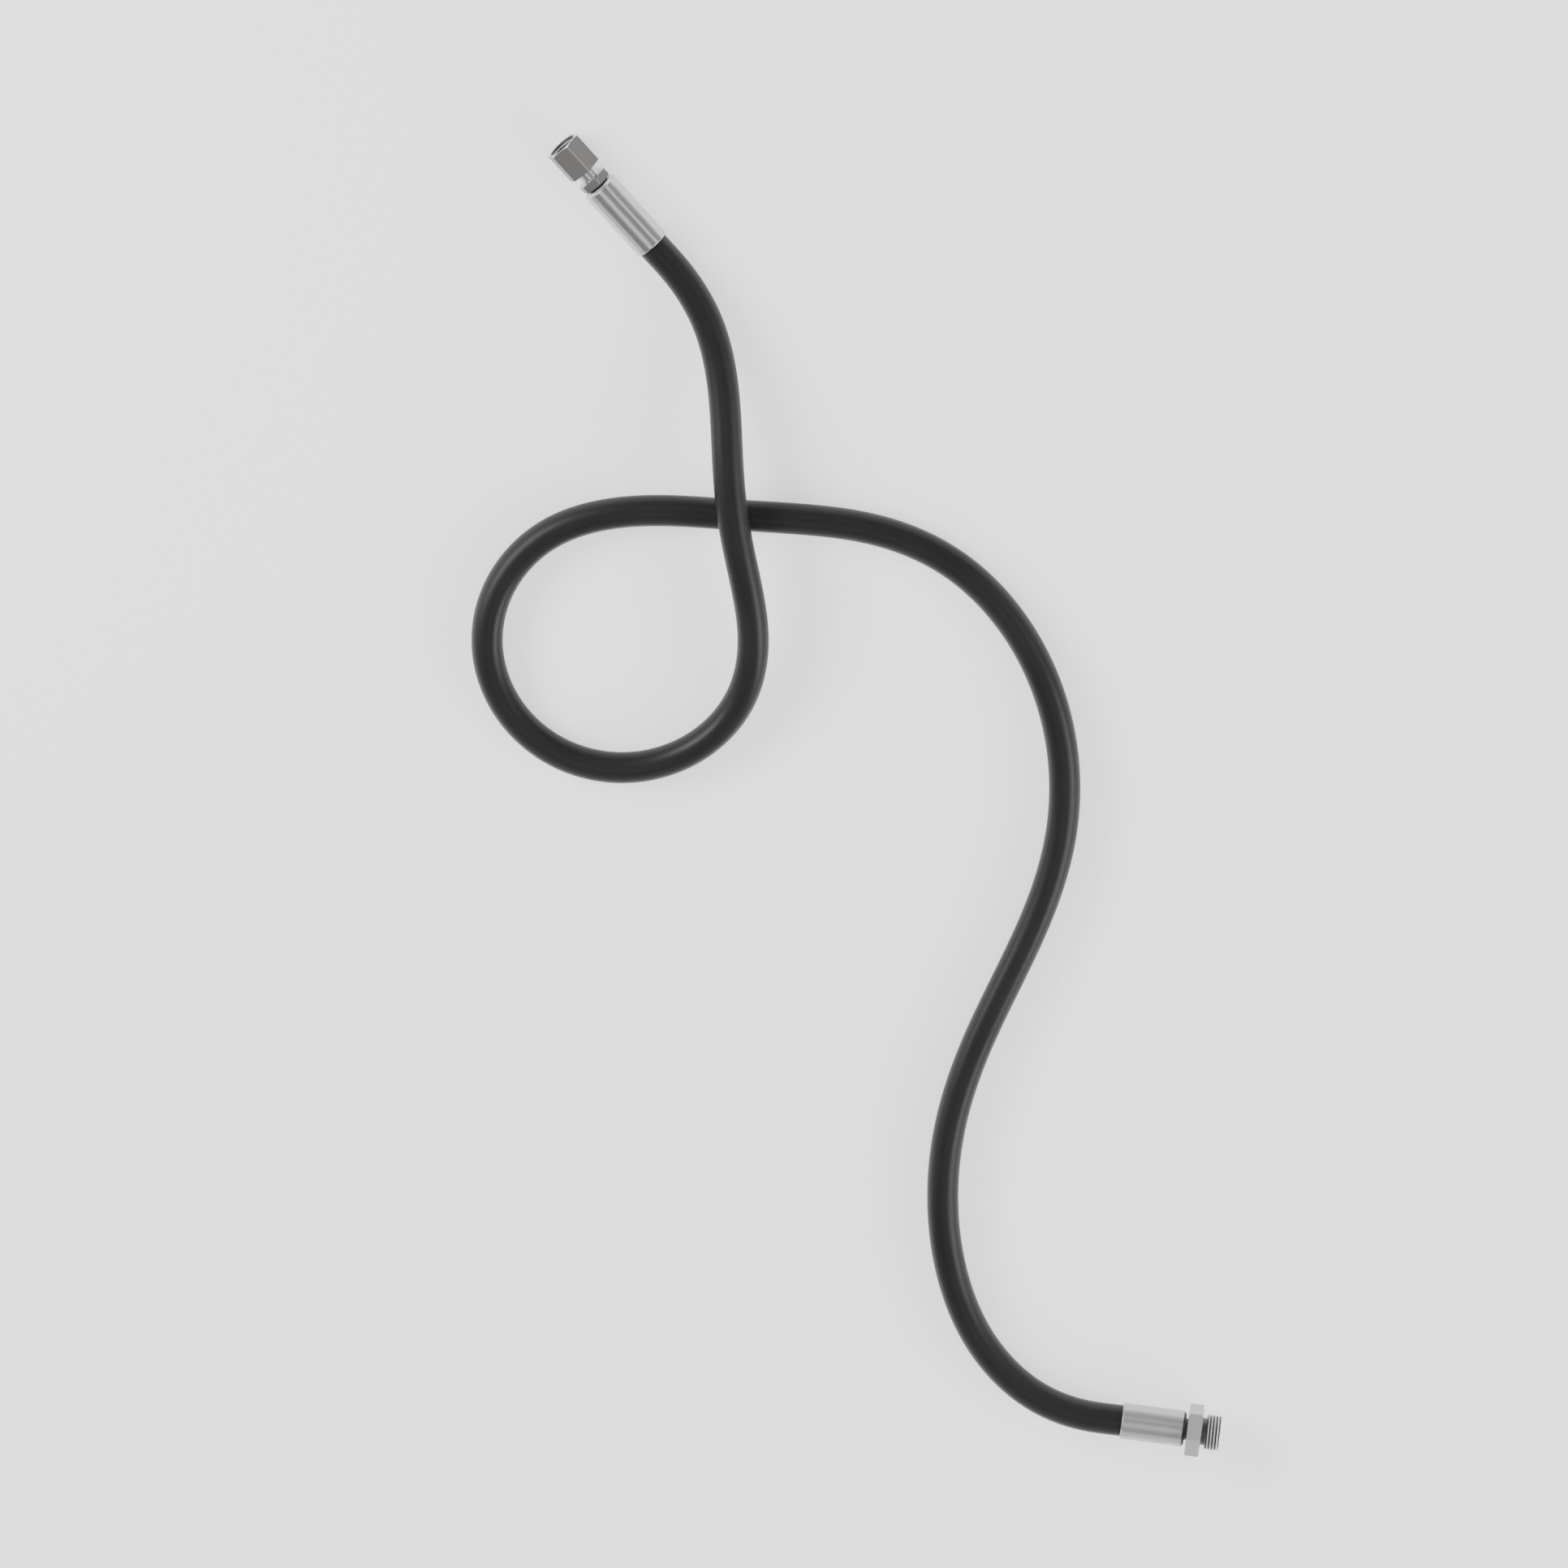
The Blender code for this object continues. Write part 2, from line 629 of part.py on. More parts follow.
def build():
    clear_scene()
    swivel = add_fitting_frame(
        "swivel_end_frame", SWIVEL_MOUTH, SWIVEL_AXIS_HEIGHT, SWIVEL_HEADING
    )
    male = add_fitting_frame("male_end_frame", MALE_MOUTH, MALE_AXIS_HEIGHT, MALE_HEADING)
    bpy.context.view_layer.update()

    add_hose(swivel, male)
    add_ferrule("ferrule_swivel_end", SWIVEL_FERRULE_LENGTH, swivel)
    add_swivel_stem(swivel)
    add_swivel_nut(swivel)
    add_retaining_wire(swivel)
    add_o_ring(swivel)
    add_ferrule("ferrule_male_end", MALE_FERRULE_LENGTH, male)
    add_male_stem(male)


build()
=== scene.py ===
import json
import math

import bmesh
import bpy
import numpy as np
from mathutils import Matrix, Vector


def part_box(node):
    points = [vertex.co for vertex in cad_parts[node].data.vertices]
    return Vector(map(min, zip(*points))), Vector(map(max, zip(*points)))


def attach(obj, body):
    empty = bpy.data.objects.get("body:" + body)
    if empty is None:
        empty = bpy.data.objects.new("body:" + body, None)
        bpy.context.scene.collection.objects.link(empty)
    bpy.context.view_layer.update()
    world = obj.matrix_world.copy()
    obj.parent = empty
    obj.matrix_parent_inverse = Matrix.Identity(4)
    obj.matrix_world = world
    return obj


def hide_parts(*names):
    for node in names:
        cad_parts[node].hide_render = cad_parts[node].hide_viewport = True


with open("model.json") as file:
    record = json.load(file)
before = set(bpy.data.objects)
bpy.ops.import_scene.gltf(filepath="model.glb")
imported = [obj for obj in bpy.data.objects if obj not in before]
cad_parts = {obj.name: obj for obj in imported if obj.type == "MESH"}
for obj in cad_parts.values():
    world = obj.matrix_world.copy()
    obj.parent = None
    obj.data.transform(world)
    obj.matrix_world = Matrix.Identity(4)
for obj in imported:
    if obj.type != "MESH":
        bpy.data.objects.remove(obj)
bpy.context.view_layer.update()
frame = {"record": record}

MM = 0.001

# The photograph's frame, in its own pixels, and the scale of what lies on the floor
PHOTO_SIZE = 1932
MM_PER_PIXEL = 0.385
TARGET = Vector((-0.0485, -0.0035, 0))  # the floor's point in the middle of the photograph
CAMERA_DISTANCE = 20.0
CAMERA_LEAN = math.radians(19)  # from straight down, towards +Y
CAMERA_ROLL = math.radians(7.6)
CAMERA_CLIP = (0.05, 100)
SENSOR = 36.0

# Floor, sky and lights
FLOOR_HALF = 15
FLOOR_GLOW = 1.0  # the white table is lit from inside, as a light table is
SKY = [(0.0, 0.7), (0.3, 0.5), (0.6, 0.38), (0.85, 0.38), (1.0, 0.5)]  # (height, level)
# Each soft box: name, place, direction of its length, width, length, glow
SOFT_BOXES = [
    ("over_swivel_end", (0.26, -0.52, 2.43), (-0.75, 0.66, 0), 0.7, 1.6, 1.3),
    ("back_right", (1.64, 1.03, 1.59), (-0.75, 0.66, 0), 0.7, 1.6, 1.3),
    ("back", (0.0, 1.6, 2.0), (1, 0, 0), 0.7, 1.2, 1.0),
    ("front", (-0.3, -2.2, 0.9), (1, 0, 0), 1.0, 2.6, 1.2),
    ("left", (-2.2, 0.8, 1.4), (0.34, 0.94, 0), 0.9, 2.0, 15.0),
    ("right", (2.0, -0.6, 1.0), (0.29, 0.96, 0), 0.8, 1.6, 11.0),
]

# Clearances
SEAT_GAP = 0.3 * MM
CROSSING_GAP = 0.4 * MM

# Hose
HOSE_OD = 15.0 * MM
HOSE_BORE = 6.4 * MM
CRIMP_SQUEEZE = 0.4 * MM
LEAD_OUT = 15.0 * MM
HOSE_SIDES = 48
RING_SPACING = 3.0 * MM
CURVE_STEPS = 40
HOSE_RADIUS = HOSE_OD / 2
CRIMPED_RADIUS = HOSE_RADIUS - CRIMP_SQUEEZE
ON_FLOOR = HOSE_RADIUS
ROUTE = [
    (-0.1137, 0.2245, 0.0104),
    (-0.1006, 0.1890, 0.0159),
    (-0.0943, 0.1558, 0.0211),
    (-0.0881, 0.1294, 3 * ON_FLOOR + CROSSING_GAP),
    (-0.0792, 0.1015, 0.0214),
    (-0.0718, 0.0704, 0.0171),
    (-0.0750, 0.0381, 0.0119),
    (-0.0935, 0.0110, 0.0083),
    (-0.1230, -0.0031, ON_FLOOR),
    (-0.1557, -0.0005, ON_FLOOR),
    (-0.1826, 0.0182, ON_FLOOR),
    (-0.1965, 0.0478, ON_FLOOR),
    (-0.1935, 0.0805, ON_FLOOR),
    (-0.1745, 0.1074, ON_FLOOR),
    (-0.1380, 0.1240, ON_FLOOR),
    (-0.0881, 0.1294, ON_FLOOR),
    (-0.0580, 0.1315, ON_FLOOR),
    (-0.0228, 0.1313, ON_FLOOR),
    (0.0130, 0.1215, ON_FLOOR),
    (0.0437, 0.0995, ON_FLOOR),
    (0.0670, 0.0679, ON_FLOOR),
    (0.0808, 0.0315, ON_FLOOR),
    (0.0849, -0.0060, ON_FLOOR),
    (0.0800, -0.0446, ON_FLOOR),
    (0.0697, -0.0811, ON_FLOOR),
    (0.0585, -0.1184, ON_FLOOR),
    (0.0517, -0.1557, ON_FLOOR),
    (0.0521, -0.1945, ON_FLOOR),
    (0.0611, -0.2324, 0.0080),
    (0.0801, -0.2661, 0.0096),
    (0.1124, -0.2898, 0.0118),
]

# Ferrules
FERRULE_WALL = 1.2 * MM
SWIVEL_FERRULE_LENGTH = 38.5 * MM
MALE_FERRULE_LENGTH = 30.5 * MM
MOUTH_LENGTH = 4.0 * MM
MOUTH_TAPER = 2.5 * MM
MOUTH_CHAMFER = 0.4 * MM
FRONT_CHAMFER = 1.3 * MM
LIP_LENGTH = 3.5 * MM
DIE_COUNT = 8
DIE_DEPTH = 0.07 * MM  # how far the middle of each crimping die presses below the ridges
DIE_FADE = 2.5 * MM
FERRULE_BORE_RADIUS = CRIMPED_RADIUS + SEAT_GAP
FERRULE_RADIUS = FERRULE_BORE_RADIUS + FERRULE_WALL

# What both stems share
STEM_BORE = 4.0 * MM
TAIL_SETBACK = 2.5 * MM
BARB_PITCH = 4.6 * MM
BARB_DEPTH = 0.35 * MM
TAIL_TIP_TAPER = 1.0 * MM
COLLAR_LENGTH = 3.0 * MM
LOCK_GROOVE_RADIUS = 5.2 * MM
HEX_STANDOFF = 1.0 * MM
EDGE_CHAMFER = 0.3 * MM
HEX_CHAMFER_ANGLE = math.radians(30)
HEX_CORNER = math.radians(30)  # from the middle of a flat
BLANK_OVERSIZE = 1.02

# Swivel end
SMALL_HEX_AF = 14.0 * MM
SMALL_HEX_THICKNESS = 4.0 * MM
SMALL_HEX_CHAMFER = 0.4 * MM
NECK_RADIUS = 4.85 * MM
NECK_SHOWING = 4.8 * MM
NUT_AF = 16.0 * MM
NUT_LENGTH = 16.0 * MM
NUT_REAR_CHAMFER = 0.35 * MM
NUT_FRONT_CHAMFER = 0.7 * MM
NUT_BORE_RADIUS = 6.2 * MM
NUT_MOUTH_RADIUS = 7.1 * MM
NUT_THREAD_RADIUS = 6.95 * MM
NUT_THREAD_SETBACK = 6.5 * MM  # from the nut's rear face to where its thread starts
BARREL_SETBACK = 0.9 * MM
BARREL_LENGTH = 4.6 * MM
NOSE_DEPTH = 5.3 * MM
NOSE_RADIUS = 3.9 * MM
CONE_HALF_ANGLE = math.radians(12)
O_RING_THICKNESS = 1.3 * MM
O_RING_SETBACK = 2.2 * MM
O_RING_STANDS_PROUD = 0.3 * MM
WIRE_THICKNESS = 1.2 * MM
WIRE_OPENING = math.radians(30)
WIRE_HOLE_RADIUS = 0.9 * MM
SWIVEL_TURN = math.radians(-8.4)

# Male end
MALE_HEX_AF = 22.0 * MM
MALE_HEX_THICKNESS = 6.8 * MM
MALE_HEX_CHAMFER = 0.6 * MM
RELIEF_RADIUS = 6.5 * MM
RELIEF_WIDTH = 2.1 * MM
THREAD_RADIUS = 9.0 * MM
THREAD_LEAD = 1.0 * MM
MALE_REACH = 9.0 * MM
SOCKET_MOUTH_RADIUS = 6.0 * MM
TUBE_RADIUS = 5.0 * MM
SOCKET_DEPTH = 7.0 * MM
DRILL_HALF_ANGLE = math.radians(59)
MALE_TURN = math.radians(-27.5)

# Both threads are metric, 60 degrees, with this pitch
THREAD_PITCH = 1.5 * MM
THREAD_DEPTH = 0.6134 * THREAD_PITCH
THREAD_SLOPE = math.tan(math.radians(30))
THREAD_STEPS = 96
HIGHLIT_SHARE = 0.65  # the share of an external thread's depth, from the crest, painted bright as a highlight
CUT_CLEARANCE = 0.02 * MM
NUT_THREAD_FADE = 0.6  # turns over which the cut in the nut grows to its full depth
FADE_START = 0.02  # the share of its depth that such a cut starts with

ROUND_STEPS = 96
FERRULE_STEPS = 144
FERRULE_ROWS = 24
ROD_STEPS = 48
RING_SECTION_STEPS = 20
SOFT_EDGE = 0.12 * MM
HEX_EDGE = 0.2 * MM
HEX_EDGE_STEPS = 3
SOFTENED_ANGLE = math.radians(20)
SHARP_ANGLE = math.radians(30)
FLAT_WEIGHT = 100  # the large faces decide how the soft edges beside them shade
SAME_WAY = 0.999  # the cosine between two directions that count as one
TINY = 0.001 * MM


# Places along the two fittings, from the ferrule's mouth


def hex_start(ferrule_length):
    return ferrule_length + HEX_STANDOFF


def collar_end(ferrule_length):
    return ferrule_length - LIP_LENGTH - SEAT_GAP


def hose_end(ferrule_length):
    return collar_end(ferrule_length) - COLLAR_LENGTH - SEAT_GAP


SMALL_HEX_FRONT = hex_start(SWIVEL_FERRULE_LENGTH) + SMALL_HEX_THICKNESS
NUT_REAR = SMALL_HEX_FRONT + NECK_SHOWING
NUT_FRONT = NUT_REAR + NUT_LENGTH
BARREL_START = NUT_REAR + BARREL_SETBACK
BARREL_END = BARREL_START + BARREL_LENGTH
BARREL_RADIUS = NUT_BORE_RADIUS - SEAT_GAP
WIRE_PLACE = (BARREL_START + BARREL_END) / 2
WIRE_RING_RADIUS = (BARREL_RADIUS + NUT_BORE_RADIUS) / 2
WIRE_GROOVE_HALF = WIRE_THICKNESS / 2 + SEAT_GAP
NOSE_PLACE = NUT_FRONT - NOSE_DEPTH
O_RING_PLACE = NOSE_PLACE - O_RING_SETBACK
MALE_HEX_FRONT = hex_start(MALE_FERRULE_LENGTH) + MALE_HEX_THICKNESS
MALE_TIP = MALE_HEX_FRONT + MALE_REACH


def cone_radius(place):
    return NOSE_RADIUS + (NOSE_PLACE - place) * math.tan(CONE_HALF_ANGLE)


O_RING_RADIUS = cone_radius(O_RING_PLACE) + O_RING_STANDS_PROUD - O_RING_THICKNESS / 2


# Frames of the two fittings: local Z out of the hose, local X up, origin at the ferrule's mouth


def fitting_matrix(mouth, out):
    up = Vector((0, 0, 1))
    turn = Matrix((up, out.cross(up), out)).transposed()
    return Matrix.Translation(mouth) @ turn.to_4x4()


def swivel_end():
    """The nut's joint lies on the swivel end's axis, in the middle of the nut."""
    joint = frame["record"]["behaviour"]["joints"][0]
    out = Vector(joint["axis"]).normalized()
    mouth = Vector(joint["pos_m"]) - out * (NUT_FRONT - NUT_LENGTH / 2)
    return fitting_matrix(mouth, out)


def male_end():
    """The male ferrule's mouth is the low end of its box along X."""
    low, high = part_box("ferrule_male_end")
    middle = (low + high) / 2
    return fitting_matrix(Vector((low.x, middle.y, middle.z)), Vector((1, 0, 0)))


SWIVEL = swivel_end()
MALE = male_end()


# Materials: noise scales a metre, and depths of what the noises raise
TURNED_MARKS = 5200.0
MARK_SPREAD = {"along": (2600.0, 2600.0, 60.0), "plate": (1500.0, 1500.0, 45.0)}
MARK_DEPTH = {"round": 0.0035 * MM, "along": 0.0022 * MM, "plate": 0.0022 * MM}
MARK_ROUGHNESS = 0.03
BLOTCH_SPREAD = (420.0, 420.0, 170.0)
BLOTCH_ROUGHNESS = 0.012
BLOTCH_LEVELS = (0.96, 1.03)
METAL_GRAIN = 4200.0
METAL_GRAIN_DEPTH = 0.0008 * MM
STREAK_SPREAD = (420.0, 420.0, 9.0)
STREAK_DEPTH = 0.030 * MM
CLOUD_SPREAD = (60.0, 60.0, 22.0)
COVER_GRAIN = 2600.0
COVER_GRAIN_DEPTH = 0.006 * MM
SEAL_GRAIN = 5200.0
SEAL_GRAIN_DEPTH = 0.004 * MM
PAPER_CLOUDS = 3.0


class Nodes:
    """A short way to add and link shader nodes in one material."""

    def __init__(self, name):
        self.material = bpy.data.materials.new(name)
        self.material.use_nodes = True
        self.tree = self.material.node_tree
        self.shader = self.tree.nodes["Principled BSDF"]

    def add(self, kind, inputs=None, **settings):
        item = self.tree.nodes.new(kind)
        for key, value in settings.items():
            setattr(item, key, value)
        for key, value in (inputs or {}).items():
            self.set(item, key, value)
        return item

    def set(self, item, key, value):
        if isinstance(value, bpy.types.NodeSocket):
            self.tree.links.new(value, item.inputs[key])
        else:
            item.inputs[key].default_value = value

    def noise(self, vector, scale, detail=3.0, roughness=0.5):
        values = {"Vector": vector, "Scale": scale, "Detail": detail, "Roughness": roughness}
        return self.add("ShaderNodeTexNoise", values).outputs["Fac"]

    def stretched(self, vector, scale):
        """The same place, with its three axes scaled."""
        item = self.add("ShaderNodeVectorMath", {0: vector, 1: scale}, operation="MULTIPLY")
        return item.outputs["Vector"]

    def ranged(self, value, low, high, from_low=0.3, from_high=0.7):
        """A noise's usual spread, mapped to a range."""
        values = {"Value": value, "To Min": low, "To Max": high}
        values.update({"From Min": from_low, "From Max": from_high})
        return self.add("ShaderNodeMapRange", values).outputs["Result"]

    def mixed(self, share, first, second):
        item = self.add("ShaderNodeMix", {"Factor": share}, data_type="RGBA")
        self.set(item, 6, first)
        self.set(item, 7, second)
        return item.outputs[2]

    def total(self, first, second):
        return self.add("ShaderNodeMath", {0: first, 1: second}, operation="ADD").outputs[0]

    def bump(self, height, distance, before=None):
        values = {"Height": height, "Distance": distance, "Strength": 1.0}
        item = self.add("ShaderNodeBump", values)
        if before is not None:
            self.set(item, "Normal", before)
        return item.outputs["Normal"]


def grey(level, warmth=0.0):
    return (level, level * (1 - warmth / 2), level * (1 - warmth), 1.0)


def steel(name, level, roughness, lines, warmth=0.03, metallic=1.0):
    """Plated steel, its local Z along the bar. lines is "round" for turned marks, "along" for drawn
    bar and "plate" for a drawn and plated shell."""
    nodes = Nodes(name)
    place = nodes.add("ShaderNodeTexCoord").outputs["Object"]
    parts = nodes.add("ShaderNodeSeparateXYZ", {"Vector": place}).outputs
    if lines == "round":
        square = nodes.add("ShaderNodeMath", {0: parts[0], 1: parts[0]}, operation="MULTIPLY")
        other = nodes.add("ShaderNodeMath", {0: parts[1], 1: parts[1]}, operation="MULTIPLY")
        both = nodes.total(square.outputs[0], other.outputs[0])
        radius = nodes.add("ShaderNodeMath", {0: both, 1: 0.5}, operation="POWER").outputs[0]
        values = {"X": radius, "Y": parts[2]}
        marks_place = nodes.add("ShaderNodeCombineXYZ", values).outputs[0]
        marks = nodes.noise(marks_place, TURNED_MARKS, 2.0)
    else:
        marks = nodes.noise(nodes.stretched(place, MARK_SPREAD[lines]), 1.0, 3.0)
    blotches = nodes.noise(nodes.stretched(place, BLOTCH_SPREAD), 1.0, 4.0, 0.6)
    grain = nodes.noise(place, METAL_GRAIN, 2.0)
    dark, bright = [grey(level * share, warmth) for share in BLOTCH_LEVELS]
    colour = nodes.mixed(nodes.ranged(blotches, 0.0, 1.0), dark, bright)
    nodes.set(nodes.shader, "Base Color", colour)
    nodes.shader.inputs["Metallic"].default_value = metallic
    rough = nodes.total(
        nodes.ranged(blotches, -BLOTCH_ROUGHNESS, BLOTCH_ROUGHNESS),
        nodes.ranged(marks, roughness - MARK_ROUGHNESS, roughness + MARK_ROUGHNESS),
    )
    nodes.set(nodes.shader, "Roughness", rough)
    first = nodes.bump(marks, MARK_DEPTH[lines])
    nodes.set(nodes.shader, "Normal", nodes.bump(grain, METAL_GRAIN_DEPTH, first))
    return nodes.material


def cover_rubber():
    """The hose's smooth extruded cover, with faint streaks that run along it."""
    nodes = Nodes("hose_cover")
    place = nodes.add("ShaderNodeAttribute", attribute_name="straight").outputs["Vector"]
    streaks = nodes.noise(nodes.stretched(place, STREAK_SPREAD), 1.0, 3.0)
    clouds = nodes.noise(nodes.stretched(place, CLOUD_SPREAD), 1.0, 3.0)
    grain = nodes.noise(place, COVER_GRAIN, 3.0, 0.6)
    colour = nodes.mixed(nodes.ranged(clouds, 0.0, 1.0), grey(0.011, 0.06), grey(0.017, 0.08))
    nodes.set(nodes.shader, "Base Color", colour)
    rough = nodes.total(nodes.ranged(streaks, 0.36, 0.46), nodes.ranged(grain, -0.02, 0.03))
    nodes.set(nodes.shader, "Roughness", rough)
    nodes.shader.inputs["Specular IOR Level"].default_value = 0.25
    first = nodes.bump(streaks, STREAK_DEPTH)
    nodes.set(nodes.shader, "Normal", nodes.bump(grain, COVER_GRAIN_DEPTH, first))
    return nodes.material


def seal_rubber():
    nodes = Nodes("seal_rubber")
    place = nodes.add("ShaderNodeTexCoord").outputs["Object"]
    grain = nodes.noise(place, SEAL_GRAIN, 3.0)
    colour = nodes.mixed(nodes.ranged(grain, 0.0, 1.0), grey(0.016), grey(0.026))
    nodes.set(nodes.shader, "Base Color", colour)
    nodes.set(nodes.shader, "Roughness", nodes.ranged(grain, 0.42, 0.58))
    nodes.set(nodes.shader, "Normal", nodes.bump(grain, SEAL_GRAIN_DEPTH))
    return nodes.material


def floor_paper():
    nodes = Nodes("floor_paper")
    place = nodes.add("ShaderNodeTexCoord").outputs["Object"]
    clouds = nodes.noise(place, PAPER_CLOUDS, 2.0)
    colour = nodes.mixed(nodes.ranged(clouds, 0.0, 1.0), grey(0.86), grey(0.88))
    nodes.set(nodes.shader, "Base Color", colour)
    nodes.set(nodes.shader, "Roughness", nodes.ranged(clouds, 0.85, 0.95))
    nodes.shader.inputs["Emission Color"].default_value = grey(1.0)
    nodes.shader.inputs["Emission Strength"].default_value = FLOOR_GLOW
    return nodes.material


FERRULE_PLATE = steel("ferrule_plate", 0.50, 0.24, "plate")
# a rougher copy of the ferrule plate for the male ferrule, its lower level a painted shade
DULL_SHADED_PLATE = steel("dull_shaded_plate", 0.44, 0.36, "plate", metallic=0.9)
TURNED_STEEL = steel("turned_steel", 0.56, 0.24, "round")
HEX_BAR = steel("hex_bar", 0.16, 0.42, "along", 0.06, metallic=0.5)
LIGHT_HEX_BAR = steel("light_hex_bar", 0.42, 0.38, "along", 0.02, metallic=0.6)
# bright metal for the hexagons' bevelled edges: a painted highlight
EDGE_HIGHLIGHT = steel("painted_edge_highlight", 0.55, 0.30, "plate", metallic=0.8)
# near-white metal for thread flanks: a painted highlight
THREAD_HIGHLIGHT = steel("painted_thread_highlight", 0.85, 0.30, "plate", metallic=0.6)
# near-black metal for recesses, thread roots and the male ferrule's front end: painted shade
RECESS_SHADE_STEEL = steel("painted_shade_steel", 0.09, 0.42, "round", metallic=0.7)
# black metal for the nut's mouth, thread root and wire hole: painted shadow
SHADOW_BLACK_STEEL = steel("painted_shadow_steel", 0.025, 0.50, "round", metallic=0.3)

COVER = cover_rubber()
SEAL = seal_rubber()

# The places of the metals in each turned piece's list of materials: EDGE and CREST hold painted
# highlights, RECESS painted shade
TURNED, FLAT, EDGE, RECESS, CREST = range(5)
SHOULDER = 1  # in a ferrule's list, after its plate


# Shapes


def turned(outline, steps=ROUND_STEPS, start=0.0):
    """Turn a closed outline of (radius, height) points about the local Z axis, from an angle."""
    shape = bmesh.new()
    corners = [shape.verts.new((radius, 0, height)) for radius, height in outline]
    edges = [shape.edges.new((a, b)) for a, b in zip(corners, corners[1:] + corners[:1])]
    bmesh.ops.spin(
        shape,
        geom=corners + edges,
        cent=(0, 0, 0),
        axis=(0, 0, 1),
        angle=2 * math.pi,
        steps=steps,
        use_merge=True,
    )
    bmesh.ops.rotate(shape, verts=shape.verts, matrix=Matrix.Rotation(start, 3, "Z"))
    return shape


def softened(outline, size=SOFT_EDGE):
    """The outline with a small rounding on every corner that turns by more than a little."""
    points = []
    count = len(outline)
    for i, corner in enumerate(outline):
        corner = Vector(corner)
        before = Vector(outline[i - 1]) - corner
        after = Vector(outline[(i + 1) % count]) - corner
        turn = math.pi - before.angle(after)
        if turn < SOFTENED_ANGLE:
            points.append(tuple(corner))
            continue
        reach = min(size, before.length / 3, after.length / 3)
        start = corner + before.normalized() * reach
        end = corner + after.normalized() * reach
        middle = (start + end + 2 * corner) / 4
        points += [tuple(start), tuple(middle), tuple(end)]
    return points


def between(shape, rear, front):
    """The vertices, edges and faces of a shape that lie between two heights."""
    verts = [vert for vert in shape.verts if rear - TINY <= vert.co.z <= front + TINY]
    inside = set(verts)
    edges = [edge for edge in shape.edges if inside.issuperset(edge.verts)]
    faces = [face for face in shape.faces if inside.issuperset(face.verts)]
    return verts + edges + faces


def mill_hexagon(shape, across_flats, rear, front, turn):
    """Mill six flats between two heights, with soft edges, and mark both with their metals; the
    soft edges get a bright metal that is a painted highlight.
    """
    normals = []
    for side in range(6):
        angle = turn + side * math.radians(60)
        normal = Vector((math.cos(angle), math.sin(angle), 0))
        normals.append(normal)
        cut = bmesh.ops.bisect_plane(
            shape,
            geom=between(shape, rear, front),
            dist=TINY,
            plane_co=normal * across_flats / 2,
            plane_no=normal,
            clear_outer=True,
        )
        edges = [item for item in cut["geom_cut"] if isinstance(item, bmesh.types.BMEdge)]
        bmesh.ops.edgeloop_fill(shape, edges=edges)

    def on_flat(face):
        middle = face.calc_center_median()
        return any(
            face.normal.dot(normal) > SAME_WAY and abs(middle.dot(normal) - across_flats / 2) < TINY
            for normal in normals
        )

    bmesh.ops.recalc_face_normals(shape, faces=shape.faces)
    shape.normal_update()
    flats = {face for face in shape.faces if on_flat(face)}
    for face in flats:
        face.material_index = FLAT
    corners = [edge for edge in shape.edges if flats.issuperset(edge.link_faces)]
    bmesh.ops.bevel(
        shape,
        geom=corners,
        offset=HEX_EDGE,
        segments=HEX_EDGE_STEPS,
        profile=0.5,
        affect="EDGES",
        material=EDGE,
    )


def mark_recess(shape, rear, front, reach):
    """Give the dark recess metal, a painted shade, to what lies between two heights and nearer the
    axis than reach.
    """
    for face in shape.faces:
        middle = face.calc_center_median()
        inside = rear + TINY < middle.z < front - TINY
        if inside and math.hypot(middle.x, middle.y) < reach:
            face.material_index = RECESS


def hexagon_outline(across_flats, rear, front, rear_chamfer, front_chamfer):
    """Outline of a hexagon's turned blank, front to rear, with the chamfers on its corners."""
    corner = across_flats / math.sqrt(3) * BLANK_OVERSIZE
    slope = math.tan(HEX_CHAMFER_ANGLE)
    return [
        (corner - front_chamfer / slope, front),
        (corner, front - front_chamfer),
        (corner, rear + rear_chamfer),
        (corner - rear_chamfer / slope, rear),
    ]


def helix(section, start, end, fade_in=0.0):
    """A closed bar of one section, swept along the screw line of the threads.

    The section's corners are (radius, height from the middle, metal of the side that ends here).
    Over the first fade_in turns the outer corners rise from the inner ones, as a tool that eases
    into its cut.
    """
    turns = (end - start) / THREAD_PITCH
    count = round(turns * THREAD_STEPS)
    inner = min(corner[0] for corner in section)
    shape = bmesh.new()
    last = None
    for step in range(count + 1):
        turn = turns * step / count
        share = min(1.0, FADE_START + turn / fade_in) if fade_in else 1.0
        angle = 2 * math.pi * turn
        ring = []
        for radius, height, metal in section:
            radius = inner + (radius - inner) * share
            place = start + turn * THREAD_PITCH + height
            corner = (math.cos(angle) * radius, math.sin(angle) * radius, place)
            ring.append(shape.verts.new(corner))
        if last:
            for i, corner in enumerate(section):
                side = shape.faces.new((last[i - 1], last[i], ring[i], ring[i - 1]))
                side.material_index = corner[2]
        else:
            shape.faces.new(ring)
        last = ring
    shape.faces.new(last[::-1])
    return shape


def outer_groove(radius, start, end):
    """The groove of an external thread whose crests lie at a radius. The outer parts of its flanks
    get a painted highlight, the inner parts and the root a painted shade.
    """
    root = radius - THREAD_DEPTH
    shaded = radius - THREAD_DEPTH * HIGHLIT_SHARE
    outer = radius + CUT_CLEARANCE
    root_half = THREAD_PITCH / 8
    shaded_half = root_half + (shaded - root) * THREAD_SLOPE
    outer_half = root_half + (outer - root) * THREAD_SLOPE
    section = [
        (root, -root_half, RECESS),
        (shaded, -shaded_half, RECESS),
        (outer, -outer_half, CREST),
        (outer, outer_half, CREST),
        (shaded, shaded_half, CREST),
        (root, root_half, RECESS),
    ]
    return helix(section, start, end)


